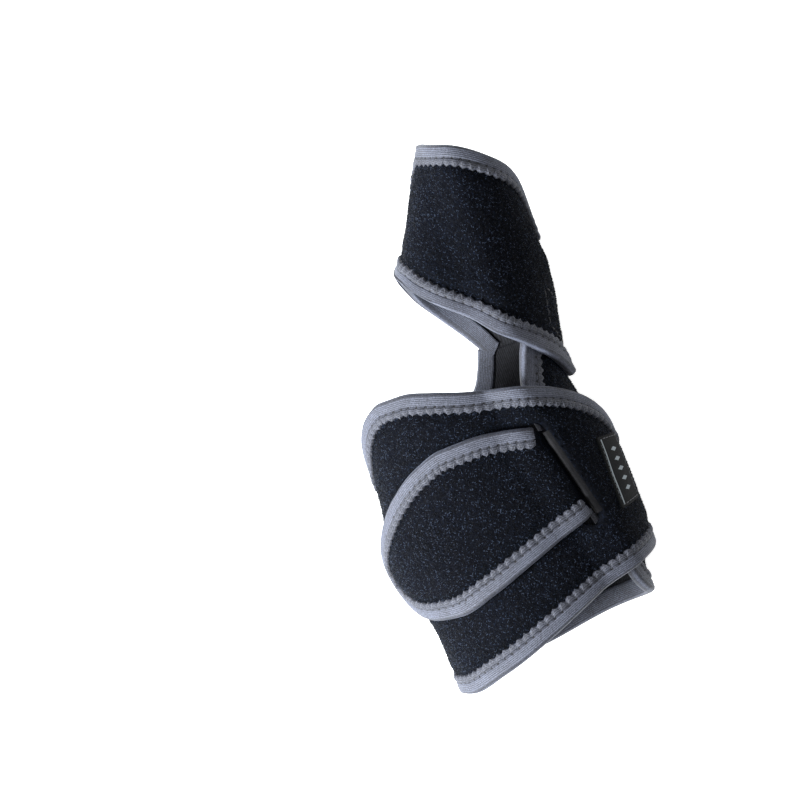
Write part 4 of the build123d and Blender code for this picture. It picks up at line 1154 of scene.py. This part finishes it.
for inset in np.linspace(0.0, 2.4, 4):
    lip_rows.append(lip_frames.place(inset, -0.36))
lip_places = np.stack(lip_rows, axis=1)
lip_along, lip_across = path_lengths(lip_places[:, 0])[:, None], np.arange(len(lip_rows))[None] * 0.5
lip_uv = np.stack(np.broadcast_arrays(lip_along, lip_across), axis=-1).reshape(-1, 2) * MM
lip_faces = grid_faces(*lip_places.shape[:2])
slot_lip = mesh_object("slot_lip_facing", lip_places.reshape(-1, 3), lip_faces, facing_cloth, lip_uv)
stand_for(slot_lip, ["slot_facing"], "wrap")


# ---- closing strap and its tab, split where the strap comes up through the slot ----
def split_line(level):
    return leaning_angle(STRAP_SPLIT_ANGLE, level)


def ruled_grid(sheet, start_line, end_line, spacing):
    """Grid between two lines, each of which gives the angle at a level."""
    trial_start, trial_end = start_line(SLOT_MIDDLE_Z), end_line(SLOT_MIDDLE_Z)
    columns_at = even_angles(sheet, trial_start, trial_end, spacing)
    share_u = (columns_at - trial_start) / (trial_end - trial_start)
    tallest = (sheet.high(columns_at) - sheet.low(columns_at)).max()
    share_v = np.linspace(0, 1, max(6, int(tallest / spacing)))
    angle = np.broadcast_to(columns_at[:, None], (len(share_u), len(share_v))).copy()
    for _ in range(6):
        level = sheet.low(angle) + share_v[None, :] * (sheet.high(angle) - sheet.low(angle))
        first, last = start_line(level), end_line(level)
        angle = first + share_u[:, None] * (last - first)
    return angle, sheet.low(angle) + share_v[None, :] * (sheet.high(angle) - sheet.low(angle))


tab_origin, tab_axis = hinge("tab_peel")
tab_out = Vector((tab_origin.x, tab_origin.y, 0)).normalized()
tab_way = tab_axis.cross(tab_out).normalized()
if tab_way.x > 0:
    tab_way = -tab_way


def bend_with_tab(piece):
    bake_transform(piece)


def on_tab(angle, level):
    return straight_angle(angle, level) > STRAP_SPLIT_ANGLE + 1


root_rims = rim_places(root_sheet, ends=False)
root_grid = ruled_grid(root_sheet, flat(root_sheet.start), split_line, GRID * 1.6)
root_cloth = plush_piece("closing_strap_cloth", root_sheet, *root_grid, root_rims, crown=0.0)
stand_for(root_cloth, ["closing_strap"], "wrap")
tab_grid = ruled_grid(tab_sheet, split_line, flat(tab_sheet.end), GRID)
padded(
    "closing_tab", "closing_tab", tab_sheet, tab_grid, rim_places(tab_sheet), (52, 179), bend_with_tab,
    THICK_PILE, clear=on_tab, crown=TAB_CROWN,
)
tab_end = [(tab_sheet.end, z) for z in np.linspace(TAB_HIGH[-1][1], TAB_LOW[-1][1], 16)]
TAB_TAPE_START = 53.0
tab_path = np.concatenate([
    rim_path(tab_sheet, tab_sheet.high, leaning_angle(TAB_TAPE_START, 11.0), 180, 400), tab_end[1:-1],
    rim_path(tab_sheet, tab_sheet.low, 180, leaning_angle(TAB_TAPE_START, -24.0), 400),
])
bind("closing_tab_tape", tab_sheet, tab_path, 1, "closing_tab_binding", bend_with_tab)
ANCHOR_ANGLES = (-58.0, -43.0)
ANCHOR_INSET = 2.0
anchor_rows = []
for a in ANCHOR_ANGLES:
    low = root_sheet.low(np.array(a)) + ANCHOR_INSET + 0.6
    high = root_sheet.high(np.array(a)) - ANCHOR_INSET - 0.6
    anchor_rows.append(row(root_sheet, a, np.linspace(low, high, 20), STRAP_FABRIC))
anchor_angles = np.linspace(ANCHOR_ANGLES[0] - 0.8, ANCHOR_ANGLES[1] + 0.8, 16)
for rim_function, inset in ((root_sheet.low, ANCHOR_INSET), (root_sheet.high, -ANCHOR_INSET)):
    anchor_rows.append(row(root_sheet, anchor_angles, rim_function(anchor_angles) + inset, STRAP_FABRIC))
sewn("closing_strap_stitches", anchor_rows, "closing_strap_stitching", "wrap")


# ---- hook patches: a woven base with rows of small moulded hooks facing the skin side ----
def hook_patch(name, sheet, body):
    angles, levels = fabric_grid(sheet, 1.0)
    outer, inner = [sheet.point(angles, levels, depth) for depth in (sheet.thickness, 0.18)]
    uv = np.stack([angles * 0.6, levels], axis=-1) * MM
    stand_for(shell_piece(name + "_base", outer, inner, uv, hook_base)[0], [name], body)
    angles, levels = angles[1:-1, 1:-1].ravel(), levels[1:-1, 1:-1].ravel()
    _, per_z, outward = sheet.axes(angles, levels, 0.0)
    root = sheet.point(angles, levels, 0.22)
    way = unit(per_z)
    spine = np.stack([
        root, root - outward * 0.30, root - outward * 0.42 + way * 0.15, root - outward * 0.30 + way * 0.30,
    ], axis=1)
    hooks = strip_piece(name + "_hooks", spine, np.cross(outward, way) * 0.09, fibres[1])
    stand_for(hooks, [], body)


hook_patch("closing_tab_hook", tab_hook_sheet, "tab")
hook_patch("thumb_strap_hook", wing_hook_sheet, "thumb_flap")

# ---- woven label ----
LABEL_SETTLE = 0.72
label_stitch_ends = (label_sheet.start + 1.3, label_sheet.end - 1.3)
angles, levels = fabric_grid(label_sheet, 0.5)
soft_edge = 0.10 * small_folds(label_sheet.point(angles, levels, 0.0))
label_top = label_sheet.thickness + LABEL_SETTLE
outer = label_sheet.point(angles, levels, label_top + soft_edge)
inner = label_sheet.point(angles, levels, LABEL_SETTLE - 0.5)
across_share = (angles - label_sheet.start) / (label_sheet.end - label_sheet.start)
up_share = (levels - label_sheet.low(angles)) / (label_sheet.high(angles) - label_sheet.low(angles))
label_uv = np.stack([across_share, up_share], axis=-1)
label_piece, _ = shell_piece("woven_label_cloth", outer, inner, label_uv, label_cloth)
stand_for(label_piece, ["woven_label"], "wrap")
label_rows = [
    row(label_sheet, a, np.linspace(-18.6, 0.6, 30), label_top) for a in label_stitch_ends
] + [
    row(label_sheet, np.linspace(*label_stitch_ends, 20), np.linspace(*ends, 20), label_top)
    for ends in ((-19.4, -20.4), (1.0, 1.6))
]
sewn(
    "label_stitches", label_rows, "label_stitching", "wrap", label_thread, "label_thread",
    length=1.5, gap=0.4, radius=0.13,
)

# ---- sleeve of the thumb stay ----
angles, levels = fabric_grid(sleeve_sheet, 0.7)
ripple = 0.12 * small_folds(sleeve_sheet.point(angles, levels, 0.0))
outer = sleeve_sheet.point(angles, levels, sleeve_sheet.thickness + ripple)
inner = sleeve_sheet.point(angles, levels, -0.3)
sleeve_uv = np.stack([angles * 0.35, levels], axis=-1) * MM
sleeve_piece, _ = shell_piece("thumb_stay_sleeve_cloth", outer, inner, sleeve_uv, sleeve_cloth)
stand_for(sleeve_piece, ["thumb_stay_sleeve"], "wrap")
sleeve_stitch_ends = (SLEEVE_START + 2.2, SLEEVE_END - 2.2)
sleeve_levels = np.linspace(SLEEVE_LOW + 2.4, SLEEVE_HIGH - 2.4, 60)
sleeve_rows = [row(sleeve_sheet, a, sleeve_levels, 0.75) for a in sleeve_stitch_ends] + [
    row(sleeve_sheet, np.linspace(*sleeve_stitch_ends, 30), z, 0.75)
    for z in (SLEEVE_LOW + 1.2, SLEEVE_HIGH - 1.2)
]
sewn("sleeve_stitches", sleeve_rows, "sleeve_stitching", "wrap")

# ---- pocket of the dorsal stay, worked out from its box ----
pocket_low, pocket_high = [np.array(corner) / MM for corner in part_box("dorsal_pocket")]
stay_low, stay_high = [np.array(corner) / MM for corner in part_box("dorsal_stay")]
stay_middle_x = (stay_low[0] + stay_high[0]) / 2
STAY_RADIUS = 50.0
STAY_THICKNESS = 1.2
POCKET_FABRIC = 0.8
arc_centre_y = stay_high[1] - STAY_THICKNESS - STAY_RADIUS
flange_radius = STAY_RADIUS - 1.0
half_pocket = (pocket_high[0] - pocket_low[0]) / 2
FLANGE_WIDTH = 4.2
tunnel_half = half_pocket - FLANGE_WIDTH
tunnel_rise = pocket_high[1] - arc_centre_y - flange_radius - POCKET_FABRIC


def pocket_place(x, z, extra):
    """A place on the pocket cloth, x across it from the middle of the stay."""
    over = ease(-np.abs(x), -(tunnel_half + 1.9), -(tunnel_half - 0.2))
    over = over * (1 - ease(z, pocket_high[2] - 3.5, pocket_high[2] - 0.8))
    radius = flange_radius + extra + tunnel_rise * over
    return np.stack([stay_middle_x + x, arc_centre_y + np.sqrt(radius**2 - x**2), z], axis=-1)


class PocketSheet:
    """Lets the stitches run on the pocket as on any other sheet: angle is x, level is z."""

    def point(self, x, z, depth):
        return pocket_place(np.asarray(x, float), np.asarray(z, float), POCKET_FABRIC + depth)

    def axes(self, x, z, depth):
        way = np.zeros(np.shape(x) + (3,))
        way[..., 1] = 1.0
        return way, way, way


across = np.linspace(-half_pocket, half_pocket, 56)
upward = np.linspace(pocket_low[2], pocket_high[2], 96)
grid_x, grid_z = np.meshgrid(across, upward, indexing="ij")
inner = pocket_place(grid_x, grid_z, 0.0)
outer = pocket_place(grid_x, grid_z, POCKET_FABRIC + 0.10 * small_folds(inner))
pocket_uv = np.stack([grid_x, grid_z], axis=-1) * MM
pocket_piece, _ = shell_piece("dorsal_pocket_cloth", outer, inner, pocket_uv, sleeve_cloth)
stand_for(pocket_piece, ["dorsal_pocket"], "wrap")
pocket_sheet = PocketSheet()
side_levels = np.linspace(pocket_low[2] + 1.5, pocket_high[2] - 1.5, 60)
top_reach = half_pocket - 2.0
pocket_rows = [row(pocket_sheet, side * (half_pocket - 1.7), side_levels, 0.1) for side in (-1, 1)]
pocket_rows.append(row(pocket_sheet, np.linspace(-top_reach, top_reach, 30), pocket_high[2] - 0.9, 0.1))
sewn("pocket_stitches", pocket_rows, "pocket_stitching", "wrap")

# ---- hard parts keep their CAD shape and take their materials here ----
for node, material, slot_name in (
    ("dorsal_stay", metal, "aluminium_strip"),
    ("thumb_stay", metal, "aluminium_strip"),
    ("stay_end_caps", cap_plastic, "cap_plastic"),
):
    piece = frame["nodes"][node]
    piece.data.materials.clear()
    piece.data.materials.append(material)

# ---- pale table behind the splint, seen from the palm side only ----
table_mesh = bpy.data.meshes.new("table")
TABLE_HALF = 1.5
TABLE_GAP = 0.004
table_y = cad_box[1].y + TABLE_GAP
table_corners = [
    (TABLE_HALF * side, table_y, TABLE_HALF * end) for side, end in ((-1, -1), (1, -1), (1, 1), (-1, 1))
]
table_mesh.from_pydata(table_corners, [], [(0, 1, 2, 3)])
table = bpy.data.objects.new("table", table_mesh)
bpy.context.scene.collection.objects.link(table)
paper, tree, surface = new_material("pale_paper")
surface.inputs["Base Color"].default_value = (0.93, 0.93, 0.93, 1.0)
surface.inputs["Roughness"].default_value = 0.9
surface.inputs["Emission Color"].default_value = (1.0, 1.0, 1.0, 1.0)
surface.inputs["Emission Strength"].default_value = 0.55
seen = tree.nodes.new("ShaderNodeMixShader")
clear = tree.nodes.new("ShaderNodeBsdfTransparent")
side = tree.nodes.new("ShaderNodeNewGeometry")
tree.links.new(side.outputs["Backfacing"], seen.inputs["Fac"])
tree.links.new(surface.outputs["BSDF"], seen.inputs[1])
tree.links.new(clear.outputs["BSDF"], seen.inputs[2])
output = next(node for node in tree.nodes if node.type == "OUTPUT_MATERIAL")
tree.links.new(seen.outputs["Shader"], output.inputs["Surface"])
table_mesh.materials.append(paper)

# ---- light ----
ROOM_LIGHT = 0.36
world = bpy.data.worlds.new("studio")
world.use_nodes = True
background = world.node_tree.nodes["Background"]
background.inputs["Color"].default_value = (1.0, 1.0, 1.0, 1.0)
rays = world.node_tree.nodes.new("ShaderNodeLightPath")
strength = calculate(
    world.node_tree, "MULTIPLY_ADD", rays.outputs["Is Camera Ray"], 1.0 - ROOM_LIGHT, ROOM_LIGHT
)
world.node_tree.links.new(strength, background.inputs["Strength"])
bpy.context.scene.world = world
bpy.context.scene.view_settings.view_transform = "Standard"
object_centre = (cad_box[0] + cad_box[1]) / 2


def soft_light(name, offset, size, power, colour=(1.0, 1.0, 1.0)):
    """A round light at an offset from the middle of the object, turned toward it."""
    data = bpy.data.lights.new(name, "AREA")
    data.shape = "DISK"
    data.size = size
    data.energy = power
    data.color = colour
    light = bpy.data.objects.new(name, data)
    bpy.context.scene.collection.objects.link(light)
    light.location = object_centre + offset
    light.rotation_mode = "QUATERNION"
    light.rotation_quaternion = (-offset).to_track_quat("-Z", "Y")


soft_light("key_light", Vector((-0.70, -0.42, -0.12)), 0.35, 34.0, (0.95, 0.975, 1.0))
soft_light("fill_light", Vector((0.25, -0.75, 0.35)), 0.8, 3.5)
soft_light("back_light", Vector((0.1, 0.7, 0.6)), 0.6, 5.0)

# ---- camera: level with the wrist, looking at the palm side, rolled as the arm leans ----
CAMERA_DISTANCE = 0.70
CAMERA_ROLL = math.radians(20.0)
PICTURE_WIDTH = 0.256
SENSOR = 36.0
camera_data = bpy.data.cameras.new("camera")
camera_data.sensor_width = SENSOR
camera_data.lens = SENSOR * CAMERA_DISTANCE / PICTURE_WIDTH
camera = bpy.data.objects.new("camera", camera_data)
bpy.context.scene.collection.objects.link(camera)
aim = Vector((-0.0213, -0.010, 0.0350))
right = Vector((math.cos(CAMERA_ROLL), 0.0, -math.sin(CAMERA_ROLL)))
up = Vector((math.sin(CAMERA_ROLL), 0.0, math.cos(CAMERA_ROLL)))
back = right.cross(up)
turn = Matrix((right, up, back)).transposed().to_4x4()
camera.matrix_world = Matrix.Translation(aim + back * CAMERA_DISTANCE) @ turn
bpy.context.scene.camera = camera
